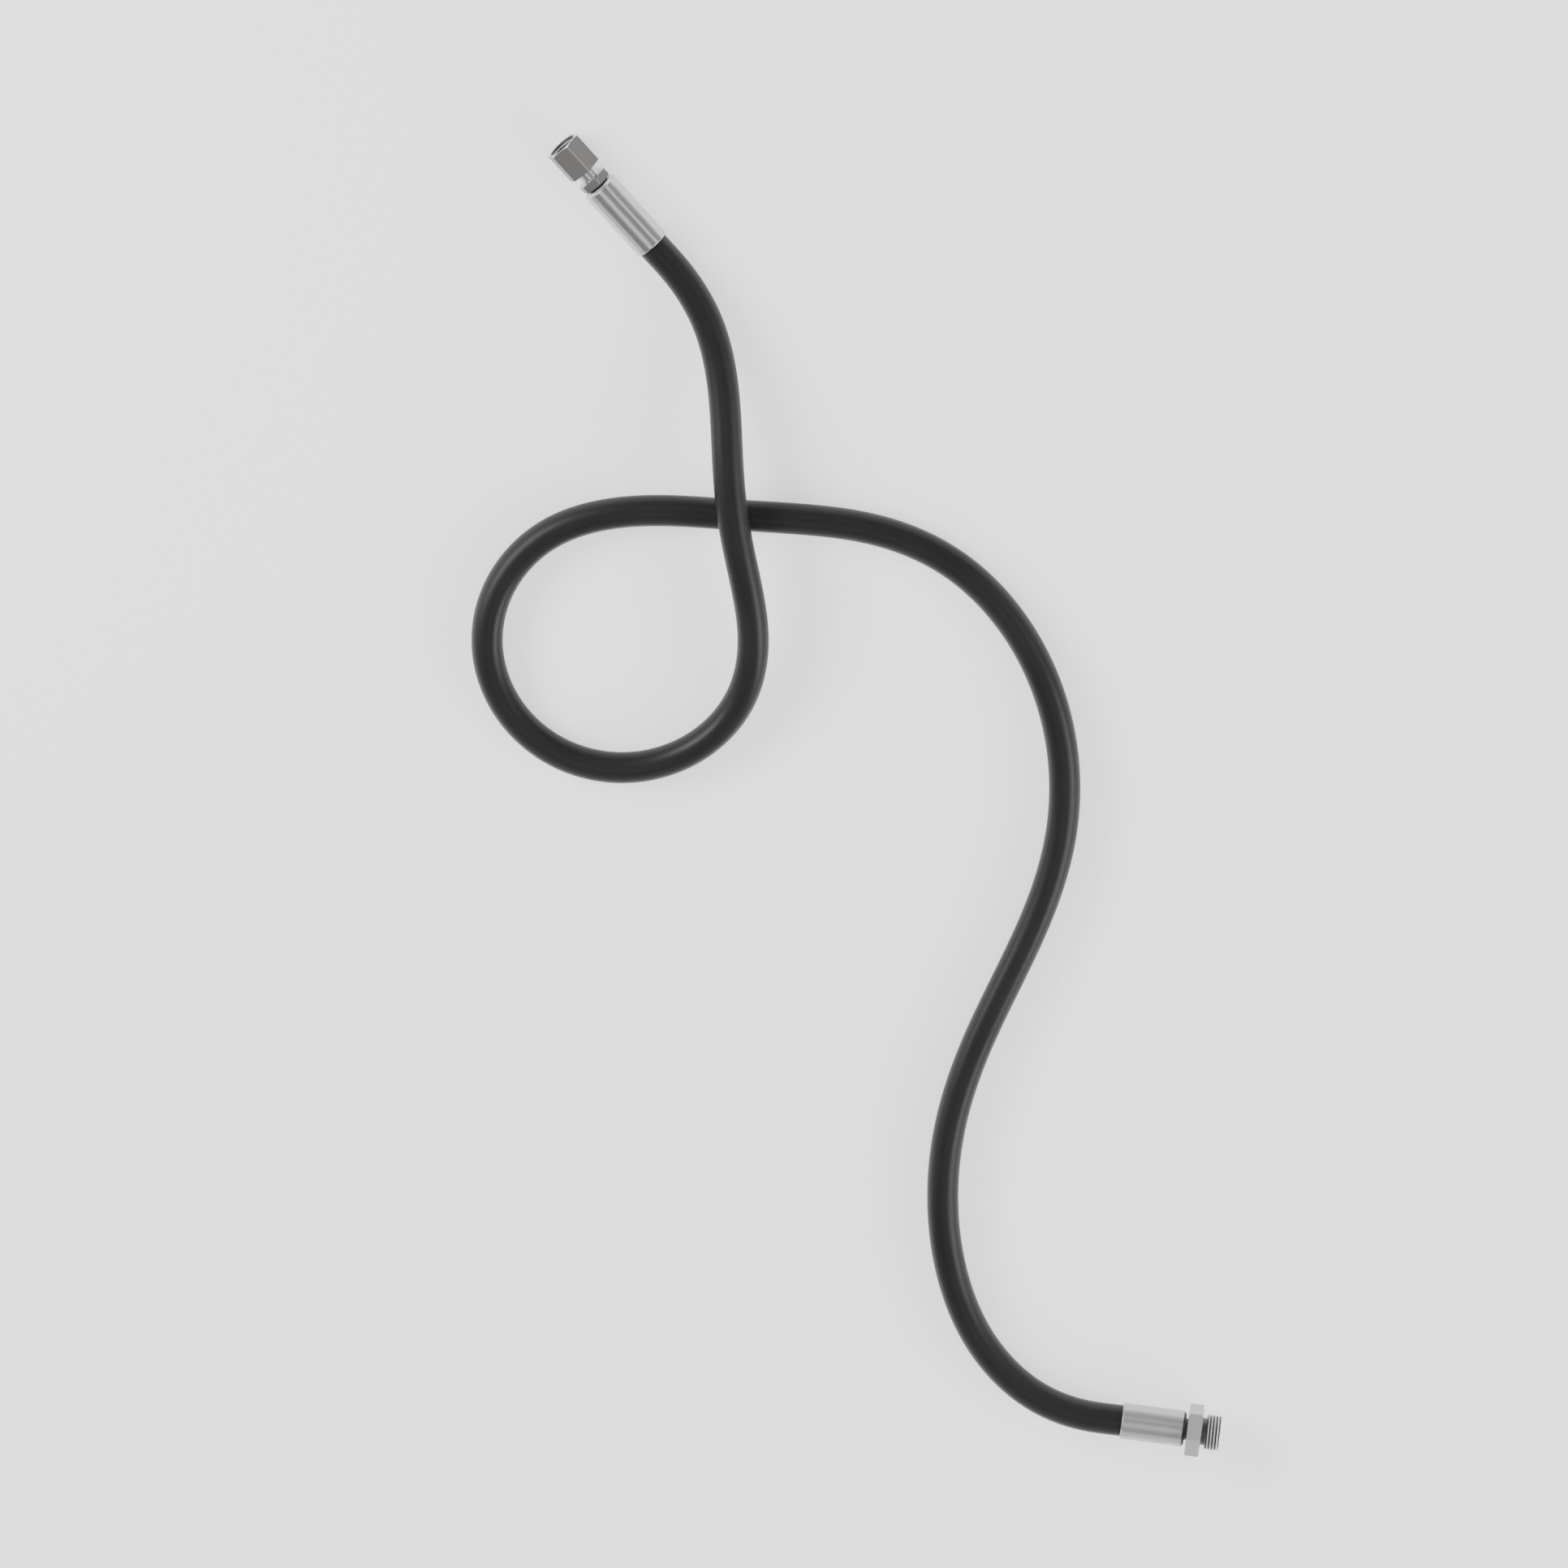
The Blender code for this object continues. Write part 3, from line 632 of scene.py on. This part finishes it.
def inner_groove(radius, crest, start, end):
    """The groove of an internal thread from its crests out to a radius. One flank gets a painted
    highlight, the root a painted shade.
    """
    root_half = THREAD_PITCH / 16
    inner = crest - CUT_CLEARANCE
    inner_half = root_half + (radius - inner) * THREAD_SLOPE
    section = [
        (inner, -inner_half, CREST),
        (radius, -root_half, CREST),
        (radius, root_half, RECESS),
        (inner, inner_half, TURNED),
    ]
    return helix(section, start, end, fade_in=NUT_THREAD_FADE)


def rod(radius, start, end):
    """A plain round rod between two local points, to cut with."""
    shape = bmesh.new()
    bmesh.ops.create_cone(
        shape,
        cap_ends=True,
        segments=ROD_STEPS,
        radius1=radius,
        radius2=radius,
        depth=(end - start).length,
    )
    turn = (end - start).to_track_quat("Z", "Y").to_matrix().to_4x4()
    place = Matrix.Translation((start + end) / 2) @ turn
    bmesh.ops.transform(shape, matrix=place, verts=shape.verts)
    # the rod's faces, and so the hole it cuts, get the dark recess metal: painted shade
    for face in shape.faces:
        face.material_index = RECESS
    return shape


def new_object(name, shape, materials):
    bmesh.ops.recalc_face_normals(shape, faces=shape.faces)
    mesh = bpy.data.meshes.new(name)
    for material in materials:
        mesh.materials.append(material)
    shape.to_mesh(mesh)
    shape.free()
    item = bpy.data.objects.new(name, mesh)
    bpy.context.collection.objects.link(item)
    return item


def changed_mesh(item, modifier):
    """Make a modifier's result the object's own mesh."""
    bpy.context.view_layer.update()
    graph = bpy.context.evaluated_depsgraph_get()
    mesh = bpy.data.meshes.new_from_object(item.evaluated_get(graph))
    item.modifiers.remove(modifier)
    item.data = mesh


def cut_away(item, cutter_shape):
    """Cut a bmesh's shape out of an object. The cut's sides keep the metals of the cutter."""
    cutter = new_object("cutter", cutter_shape, item.data.materials)
    modifier = item.modifiers.new("cut", "BOOLEAN")
    modifier.operation = "DIFFERENCE"
    modifier.object = cutter
    changed_mesh(item, modifier)
    bpy.data.objects.remove(cutter, do_unlink=True)


def dress(item, matrix, body, node):
    """Finish a piece: its shading, place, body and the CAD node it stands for."""
    item.data.shade_smooth()
    item.data.set_sharp_from_angle(angle=SHARP_ANGLE)
    flat_look = item.modifiers.new("flat_look", "WEIGHTED_NORMAL")
    flat_look.keep_sharp = True
    flat_look.weight = FLAT_WEIGHT
    changed_mesh(item, flat_look)
    item.matrix_world = matrix
    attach(item, body)
    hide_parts(node)
    return item


# The ferrules


def ferrule_outline(length):
    mouth = HOSE_RADIUS + SEAT_GAP
    lip = LOCK_GROOVE_RADIUS + SEAT_GAP
    start, end = length - FRONT_CHAMFER, MOUTH_CHAMFER
    side = [
        (FERRULE_RADIUS, start + (end - start) * row / FERRULE_ROWS)
        for row in range(1, FERRULE_ROWS)
    ]
    corners = softened(
        [
            (FERRULE_RADIUS - FRONT_CHAMFER, length),
            (FERRULE_RADIUS, start),
            (FERRULE_RADIUS, end),
            (FERRULE_RADIUS - MOUTH_CHAMFER, 0),
            (mouth, 0),
            (mouth, MOUTH_LENGTH),
            (FERRULE_BORE_RADIUS, MOUTH_LENGTH + MOUTH_TAPER),
            (FERRULE_BORE_RADIUS, length - LIP_LENGTH),
            (lip, length - LIP_LENGTH),
            (lip, length),
        ]
    )
    first_low = next(i for i, point in enumerate(corners) if point[1] < length / 2)
    return corners[:first_low] + side + corners[first_low:]


def press_dies(shape, length):
    """The crimping dies leave faint flats along the outside, which fade out at both ends."""
    for vert in shape.verts:
        radius = math.hypot(vert.co.x, vert.co.y)
        if radius < FERRULE_RADIUS - FRONT_CHAMFER / 2:
            continue
        near_end = min(vert.co.z - MOUTH_CHAMFER, length - FRONT_CHAMFER - vert.co.z)
        fade = min(1.0, max(0.0, near_end / DIE_FADE))
        angle = math.atan2(vert.co.y, vert.co.x)
        pressed = DIE_DEPTH * fade * (0.5 + 0.5 * math.cos(DIE_COUNT * angle))
        vert.co.x *= 1 - pressed / radius
        vert.co.y *= 1 - pressed / radius


def make_ferrule(name, length, matrix, node, plate, shoulder):
    """plate and shoulder are the metals of its outside and of its front end."""
    shape = turned(ferrule_outline(length), steps=FERRULE_STEPS)
    press_dies(shape, length)
    for face in shape.faces:
        if face.calc_center_median().z > length - FRONT_CHAMFER:
            face.material_index = SHOULDER
    item = new_object(name, shape, [plate, shoulder])
    return dress(item, matrix, "hose_assembly", node)


# The stems and the nut


def stem_tail_outline(ferrule_length):
    """Outer outline from the ferrule's lip down to the tip of the barbed tail."""
    crest = HOSE_BORE / 2 - SEAT_GAP
    root = crest - BARB_DEPTH
    end = collar_end(ferrule_length)
    shoulder = end - COLLAR_LENGTH
    points = [
        (LOCK_GROOVE_RADIUS, end),
        (CRIMPED_RADIUS, end),
        (CRIMPED_RADIUS, shoulder),
        (crest, shoulder),
    ]
    barbs = int((shoulder - TAIL_SETBACK - TAIL_TIP_TAPER) // BARB_PITCH)
    for barb in range(barbs):
        top = shoulder - (barb + 1) * BARB_PITCH
        points += [(crest, top + BARB_PITCH / 2), (root, top + BARB_PITCH / 2), (crest, top)]
    points += [(crest, TAIL_SETBACK + TAIL_TIP_TAPER), (root, TAIL_SETBACK)]
    return points


def make_swivel_stem():
    """The turned stem that the nut turns on: cone nose, barrel, neck, hexagon and tail."""
    bore = STEM_BORE / 2
    groove_floor = O_RING_RADIUS - O_RING_THICKNESS / 2 - SEAT_GAP
    groove_front = O_RING_PLACE + O_RING_THICKNESS / 2 + SEAT_GAP
    groove_rear = O_RING_PLACE - O_RING_THICKNESS / 2 - SEAT_GAP
    wire_floor = WIRE_RING_RADIUS - WIRE_GROOVE_HALF
    rear = hex_start(SWIVEL_FERRULE_LENGTH)
    nose_side = NOSE_PLACE - EDGE_CHAMFER
    hexagon = hexagon_outline(
        SMALL_HEX_AF, rear, SMALL_HEX_FRONT, SMALL_HEX_CHAMFER, SMALL_HEX_CHAMFER
    )
    outline = softened(
        [
            (cone_radius(NOSE_PLACE) - EDGE_CHAMFER, NOSE_PLACE),
            (cone_radius(nose_side), nose_side),
            (cone_radius(groove_front), groove_front),
            (groove_floor, groove_front),
            (groove_floor, groove_rear),
            (cone_radius(groove_rear), groove_rear),
            (cone_radius(BARREL_END), BARREL_END),
            (BARREL_RADIUS - EDGE_CHAMFER, BARREL_END),
            (BARREL_RADIUS, BARREL_END - EDGE_CHAMFER),
            (BARREL_RADIUS, WIRE_PLACE + WIRE_GROOVE_HALF),
            (wire_floor, WIRE_PLACE + WIRE_GROOVE_HALF),
            (wire_floor, WIRE_PLACE - WIRE_GROOVE_HALF),
            (BARREL_RADIUS, WIRE_PLACE - WIRE_GROOVE_HALF),
            (BARREL_RADIUS, BARREL_START),
            (NECK_RADIUS, BARREL_START),
            (NECK_RADIUS, SMALL_HEX_FRONT),
            *hexagon,
            (LOCK_GROOVE_RADIUS, rear),
            *stem_tail_outline(SWIVEL_FERRULE_LENGTH),
            (bore, TAIL_SETBACK),
            (bore, NOSE_PLACE),
        ]
    )
    shape = turned(outline, start=SWIVEL_TURN + HEX_CORNER)
    mill_hexagon(shape, SMALL_HEX_AF, rear, SMALL_HEX_FRONT, SWIVEL_TURN)
    # painted shade from the ferrule's lip to the hexagon
    mark_recess(shape, collar_end(SWIVEL_FERRULE_LENGTH), rear, SMALL_HEX_AF / 2)
    item = new_object("swivel_stem", shape, [TURNED_STEEL, HEX_BAR, EDGE_HIGHLIGHT, RECESS_SHADE_STEEL])
    return dress(item, SWIVEL, "hose_assembly", "stem_swivel_end")


def make_swivel_nut():
    """The free-turning nut: hexagon, internal thread, and its wire's groove and feed hole."""
    bore, mouth = NUT_BORE_RADIUS, NUT_MOUTH_RADIUS
    wire_roof = WIRE_RING_RADIUS + WIRE_GROOVE_HALF
    outline = softened(
        [
            *hexagon_outline(NUT_AF, NUT_REAR, NUT_FRONT, NUT_REAR_CHAMFER, NUT_FRONT_CHAMFER),
            (bore, NUT_REAR),
            (bore, WIRE_PLACE - WIRE_GROOVE_HALF),
            (wire_roof, WIRE_PLACE - WIRE_GROOVE_HALF),
            (wire_roof, WIRE_PLACE + WIRE_GROOVE_HALF),
            (bore, WIRE_PLACE + WIRE_GROOVE_HALF),
            (bore, NUT_FRONT - (mouth - bore)),
            (mouth, NUT_FRONT),
        ]
    )
    shape = turned(outline, start=SWIVEL_TURN + HEX_CORNER)
    mill_hexagon(shape, NUT_AF, NUT_REAR, NUT_FRONT, SWIVEL_TURN)
    # the nut's mouth cone gets the black metal: painted shadow
    mark_recess(shape, NUT_FRONT - (mouth - bore), NUT_FRONT, mouth)
    metals = [TURNED_STEEL, HEX_BAR, EDGE_HIGHLIGHT, SHADOW_BLACK_STEEL, THREAD_HIGHLIGHT]
    item = new_object("union_nut", shape, metals)
    start = NUT_REAR + NUT_THREAD_SETBACK
    cut_away(item, inner_groove(NUT_THREAD_RADIUS, bore, start, NUT_FRONT + THREAD_PITCH))
    down = SWIVEL_TURN + math.pi
    away = Vector((math.cos(down), math.sin(down), 0))
    place = Vector((0, 0, WIRE_PLACE))
    cut_away(item, rod(WIRE_HOLE_RADIUS, place + away * WIRE_RING_RADIUS, place + away * NUT_AF))
    return dress(item, SWIVEL, "nut", "swivel_nut")


def make_male_stem():
    """The turned stem with the fixed hexagon, male thread and cone socket."""
    bore = STEM_BORE / 2
    rear = hex_start(MALE_FERRULE_LENGTH)
    floor = MALE_TIP - SOCKET_DEPTH
    cone_depth = (SOCKET_MOUTH_RADIUS - TUBE_RADIUS) / math.tan(CONE_HALF_ANGLE)
    thread_rear = MALE_HEX_FRONT + RELIEF_WIDTH
    hexagon = hexagon_outline(
        MALE_HEX_AF, rear, MALE_HEX_FRONT, MALE_HEX_CHAMFER, MALE_HEX_CHAMFER
    )
    outline = softened(
        [
            (THREAD_RADIUS - THREAD_LEAD, MALE_TIP),
            (THREAD_RADIUS, MALE_TIP - THREAD_LEAD),
            (THREAD_RADIUS, thread_rear),
            (RELIEF_RADIUS, thread_rear),
            (RELIEF_RADIUS, MALE_HEX_FRONT),
            *hexagon,
            (LOCK_GROOVE_RADIUS, rear),
            *stem_tail_outline(MALE_FERRULE_LENGTH),
            (bore, TAIL_SETBACK),
            (bore, floor - (TUBE_RADIUS - bore) / math.tan(DRILL_HALF_ANGLE)),
            (TUBE_RADIUS, floor),
            (TUBE_RADIUS, MALE_TIP - cone_depth),
            (SOCKET_MOUTH_RADIUS, MALE_TIP),
        ]
    )
    shape = turned(outline, start=MALE_TURN + HEX_CORNER)
    mill_hexagon(shape, MALE_HEX_AF, rear, MALE_HEX_FRONT, MALE_TURN)
    # painted shade from the ferrule's lip to the hexagon, and in the thread's relief groove
    mark_recess(shape, collar_end(MALE_FERRULE_LENGTH), rear, MALE_HEX_AF / 2)
    mark_recess(shape, MALE_HEX_FRONT, thread_rear, THREAD_RADIUS)
    metals = [TURNED_STEEL, LIGHT_HEX_BAR, EDGE_HIGHLIGHT, RECESS_SHADE_STEEL, THREAD_HIGHLIGHT]
    item = new_object("male_stem", shape, metals)
    start = MALE_HEX_FRONT + RELIEF_WIDTH / 2
    cut_away(item, outer_groove(THREAD_RADIUS, start, MALE_TIP + THREAD_PITCH))
    return dress(item, MALE, "hose_assembly", "stem_male_end")


def ring_section(radius, thickness, place):
    """The round section of a ring, as an outline to turn."""
    points = []
    for step in range(RING_SECTION_STEPS):
        angle = -2 * math.pi * step / RING_SECTION_STEPS
        across, along = math.cos(angle), math.sin(angle)
        points.append((radius + thickness / 2 * across, place + thickness / 2 * along))
    return points


def make_retaining_wire():
    """An open ring of round wire, half in the nut's groove and half in the stem's."""
    section = ring_section(WIRE_RING_RADIUS, WIRE_THICKNESS, WIRE_PLACE)
    shape = bmesh.new()
    corners = [shape.verts.new((radius, 0, height)) for radius, height in section]
    first = shape.faces.new(corners)
    start = SWIVEL_TURN + math.pi + WIRE_OPENING / 2
    bmesh.ops.rotate(shape, verts=corners, matrix=Matrix.Rotation(start, 3, "Z"))
    bmesh.ops.spin(
        shape,
        geom=[first],
        cent=(0, 0, 0),
        axis=(0, 0, 1),
        angle=2 * math.pi - WIRE_OPENING,
        steps=ROUND_STEPS,
    )
    item = new_object("retaining_wire", shape, [TURNED_STEEL])
    return dress(item, SWIVEL, "nut", "nut_retaining_wire")


def make_o_ring():
    shape = turned(ring_section(O_RING_RADIUS, O_RING_THICKNESS, O_RING_PLACE))
    item = new_object("seal_ring", shape, [SEAL])
    return dress(item, SWIVEL, "hose_assembly", "cone_o_ring")


# The hose


def hermite(share, start, end, start_slope, end_slope):
    """A cubic between two points, from 0 to 1, with the slopes scaled to the span."""
    share = share[:, None]
    return (
        (2 * share**3 - 3 * share**2 + 1) * start
        + (share**3 - 2 * share**2 + share) * start_slope
        + (3 * share**2 - 2 * share**3) * end
        + (share**3 - share**2) * end_slope
    )


def smooth_curve(points, start_direction, end_direction):
    """A dense line on the smooth cubic curve through points."""
    points = np.array(points, dtype=float)
    spans = np.linalg.norm(np.diff(points, axis=0), axis=1)
    count = len(points)
    system = np.eye(count)
    right = np.zeros((count, 3))
    right[0] = start_direction
    right[-1] = end_direction
    for i in range(1, count - 1):
        before, after = spans[i - 1], spans[i]
        system[i, i - 1 : i + 2] = (after, 2 * (before + after), before)
        rise_before = (points[i] - points[i - 1]) / before
        rise_after = (points[i + 1] - points[i]) / after
        right[i] = 3 * (after * rise_before + before * rise_after)
    slopes = np.linalg.solve(system, right)
    share = np.arange(CURVE_STEPS) / CURVE_STEPS
    line = [
        hermite(share, points[i], points[i + 1], span * slopes[i], span * slopes[i + 1])
        for i, span in enumerate(spans)
    ]
    return np.vstack([*line, points[-1:]])


def evenly_spaced(line, spacing):
    """Points at even steps along a dense line, both its ends included."""
    along = np.concatenate([[0], np.cumsum(np.linalg.norm(np.diff(line, axis=0), axis=1))])
    places = np.linspace(0, along[-1], round(along[-1] / spacing) + 1)
    return np.column_stack([np.interp(places, along, line[:, axis]) for axis in range(3)])


def free_route():
    """The hose's middle line between the two ferrule mouths."""
    swivel_out = SWIVEL.to_3x3().col[2]
    male_out = MALE.to_3x3().col[2]
    start = SWIVEL.translation
    end = MALE.translation
    points = [start, start - swivel_out * LEAD_OUT, *ROUTE, end - male_out * LEAD_OUT, end]
    line = smooth_curve(points, -swivel_out, male_out)
    line[:, 2] = np.maximum(line[:, 2], ON_FLOOR)
    return evenly_spaced(line, RING_SPACING)


def crimped_end(matrix, ferrule_length):
    """Rings inside a ferrule, from its mouth to the hose's cut end: (middle, radius)."""
    places = [
        (MOUTH_LENGTH - SEAT_GAP, HOSE_RADIUS),
        (MOUTH_LENGTH + MOUTH_TAPER - SEAT_GAP, CRIMPED_RADIUS),
        (hose_end(ferrule_length), CRIMPED_RADIUS),
    ]
    return [(matrix @ Vector((0, 0, place)), radius) for place, radius in places]


def end_bore(matrix, ferrule_length):
    """Rings of the bore that takes the stem's tail, from the cut end inwards."""
    places = (hose_end(ferrule_length), TAIL_SETBACK - SEAT_GAP)
    return [(matrix @ Vector((0, 0, place)), HOSE_BORE / 2) for place in places]


def hose_rings():
    """Every ring of the hose as (middle, radius, direction), and the line it follows."""
    middle = [(Vector(point), HOSE_RADIUS) for point in free_route()]
    outside = [
        *reversed(crimped_end(SWIVEL, SWIVEL_FERRULE_LENGTH)),
        *middle,
        *crimped_end(MALE, MALE_FERRULE_LENGTH),
    ]
    line = [place for place, radius in outside]
    ahead = [(b - a).normalized() for a, b in zip(line, line[1:])]
    turns = [(a + b).normalized() for a, b in zip(ahead, ahead[1:])]
    directions = [ahead[0], *turns, ahead[-1]]
    rings = [
        *[(*ring, ahead[0]) for ring in reversed(end_bore(SWIVEL, SWIVEL_FERRULE_LENGTH))],
        *[(*ring, direction) for ring, direction in zip(outside, directions)],
        *[(*ring, ahead[-1]) for ring in end_bore(MALE, MALE_FERRULE_LENGTH)],
    ]
    return rings, line


def make_hose():
    """One closed tube: both end bores, the crimped ends and the free length between."""
    rings, line = hose_rings()
    shape = bmesh.new()
    straight = shape.verts.layers.float_vector.new("straight")
    up = Vector((0, 0, 1))
    loops = []
    travelled = 0.0
    last_place = rings[0][0]
    for place, radius, direction in rings:
        travelled += (place - last_place).length
        last_place = place
        side = up.cross(direction).normalized()
        over = direction.cross(side)
        loop = []
        for step in range(HOSE_SIDES):
            angle = 2 * math.pi * step / HOSE_SIDES
            across, along = math.cos(angle) * radius, math.sin(angle) * radius
            vert = shape.verts.new(place + side * across + over * along)
            vert[straight] = (across, along, travelled)
            loop.append(vert)
        loops.append(loop)
    for first, second in zip(loops, loops[1:]):
        for step in range(HOSE_SIDES):
            after = (step + 1) % HOSE_SIDES
            shape.faces.new((first[step], first[after], second[after], second[step]))
    shape.faces.new(loops[0])
    shape.faces.new(loops[-1])
    item = new_object("black_hose", shape, [COVER])
    dress(item, Matrix(), "hose_assembly", "hose")
    return item, line


# Camera, light and floor


def add_camera():
    lean, roll = CAMERA_LEAN, CAMERA_ROLL
    back = Vector((0, math.sin(lean), math.cos(lean)))
    flat_up = Vector((0, math.cos(lean), -math.sin(lean)))
    sideways = Vector((1, 0, 0))
    right = sideways * math.cos(roll) + flat_up * math.sin(roll)
    up = flat_up * math.cos(roll) - sideways * math.sin(roll)
    data = bpy.data.cameras.new("camera")
    data.sensor_width = SENSOR
    data.lens = SENSOR * CAMERA_DISTANCE / (PHOTO_SIZE * MM_PER_PIXEL * MM)
    data.clip_start, data.clip_end = CAMERA_CLIP
    camera = bpy.data.objects.new("camera", data)
    bpy.context.collection.objects.link(camera)
    turn = Matrix((right, up, back)).transposed()
    place = Matrix.Translation(TARGET + back * CAMERA_DISTANCE)
    camera.matrix_world = place @ turn.to_4x4()
    bpy.context.scene.camera = camera


def add_floor():
    shape = bmesh.new()
    bmesh.ops.create_grid(shape, x_segments=1, y_segments=1, size=FLOOR_HALF)
    floor = new_object("floor", shape, [floor_paper()])


def add_soft_box(name, place, along, width, length, glow):
    """A rectangular light that faces the middle of the scene, its length along a direction.

    glow is how bright its face looks, on the scale where the floor is about 2.2.
    """
    data = bpy.data.lights.new(name, "AREA")
    data.shape = "RECTANGLE"
    data.size, data.size_y = width, length
    data.energy = glow * math.pi * width * length
    light = bpy.data.objects.new(name, data)
    bpy.context.collection.objects.link(light)
    place = Vector(place)
    away = place.normalized()
    side = Vector(along).cross(away).normalized()
    turn = Matrix((side, away.cross(side), away)).transposed()
    light.matrix_world = Matrix.Translation(place) @ turn.to_4x4()


def add_world():
    """A grey studio, lighter towards the floor and straight above."""
    world = bpy.data.worlds.new("studio")
    world.use_nodes = True
    tree = world.node_tree
    place = tree.nodes.new("ShaderNodeTexCoord")
    parts = tree.nodes.new("ShaderNodeSeparateXYZ")
    ramp = tree.nodes.new("ShaderNodeValToRGB")
    tree.links.new(place.outputs["Generated"], parts.inputs["Vector"])
    tree.links.new(parts.outputs["Z"], ramp.inputs["Fac"])
    tree.links.new(ramp.outputs["Color"], tree.nodes["Background"].inputs["Color"])
    stops = ramp.color_ramp.elements
    stops.remove(stops[1])
    stops[0].position, level = SKY[0]
    stops[0].color = grey(level)
    for height, level in SKY[1:]:
        stops.new(height).color = grey(level)
    tree.nodes["Background"].inputs["Strength"].default_value = 1.0
    bpy.context.scene.world = world


add_camera()
add_floor()
add_world()
for soft_box in SOFT_BOXES:
    add_soft_box(*soft_box)

hose, hose_line = make_hose()
make_ferrule(
    "swivel_ferrule",
    SWIVEL_FERRULE_LENGTH,
    SWIVEL,
    "ferrule_swivel_end",
    FERRULE_PLATE,
    FERRULE_PLATE,
)
make_swivel_stem()
make_swivel_nut()
make_retaining_wire()
make_o_ring()
# the male ferrule's front end gets the dark recess metal: painted shade
male_ferrule = make_ferrule(
    "male_ferrule", MALE_FERRULE_LENGTH, MALE, "ferrule_male_end", DULL_SHADED_PLATE, RECESS_SHADE_STEEL
)
male_stem = make_male_stem()
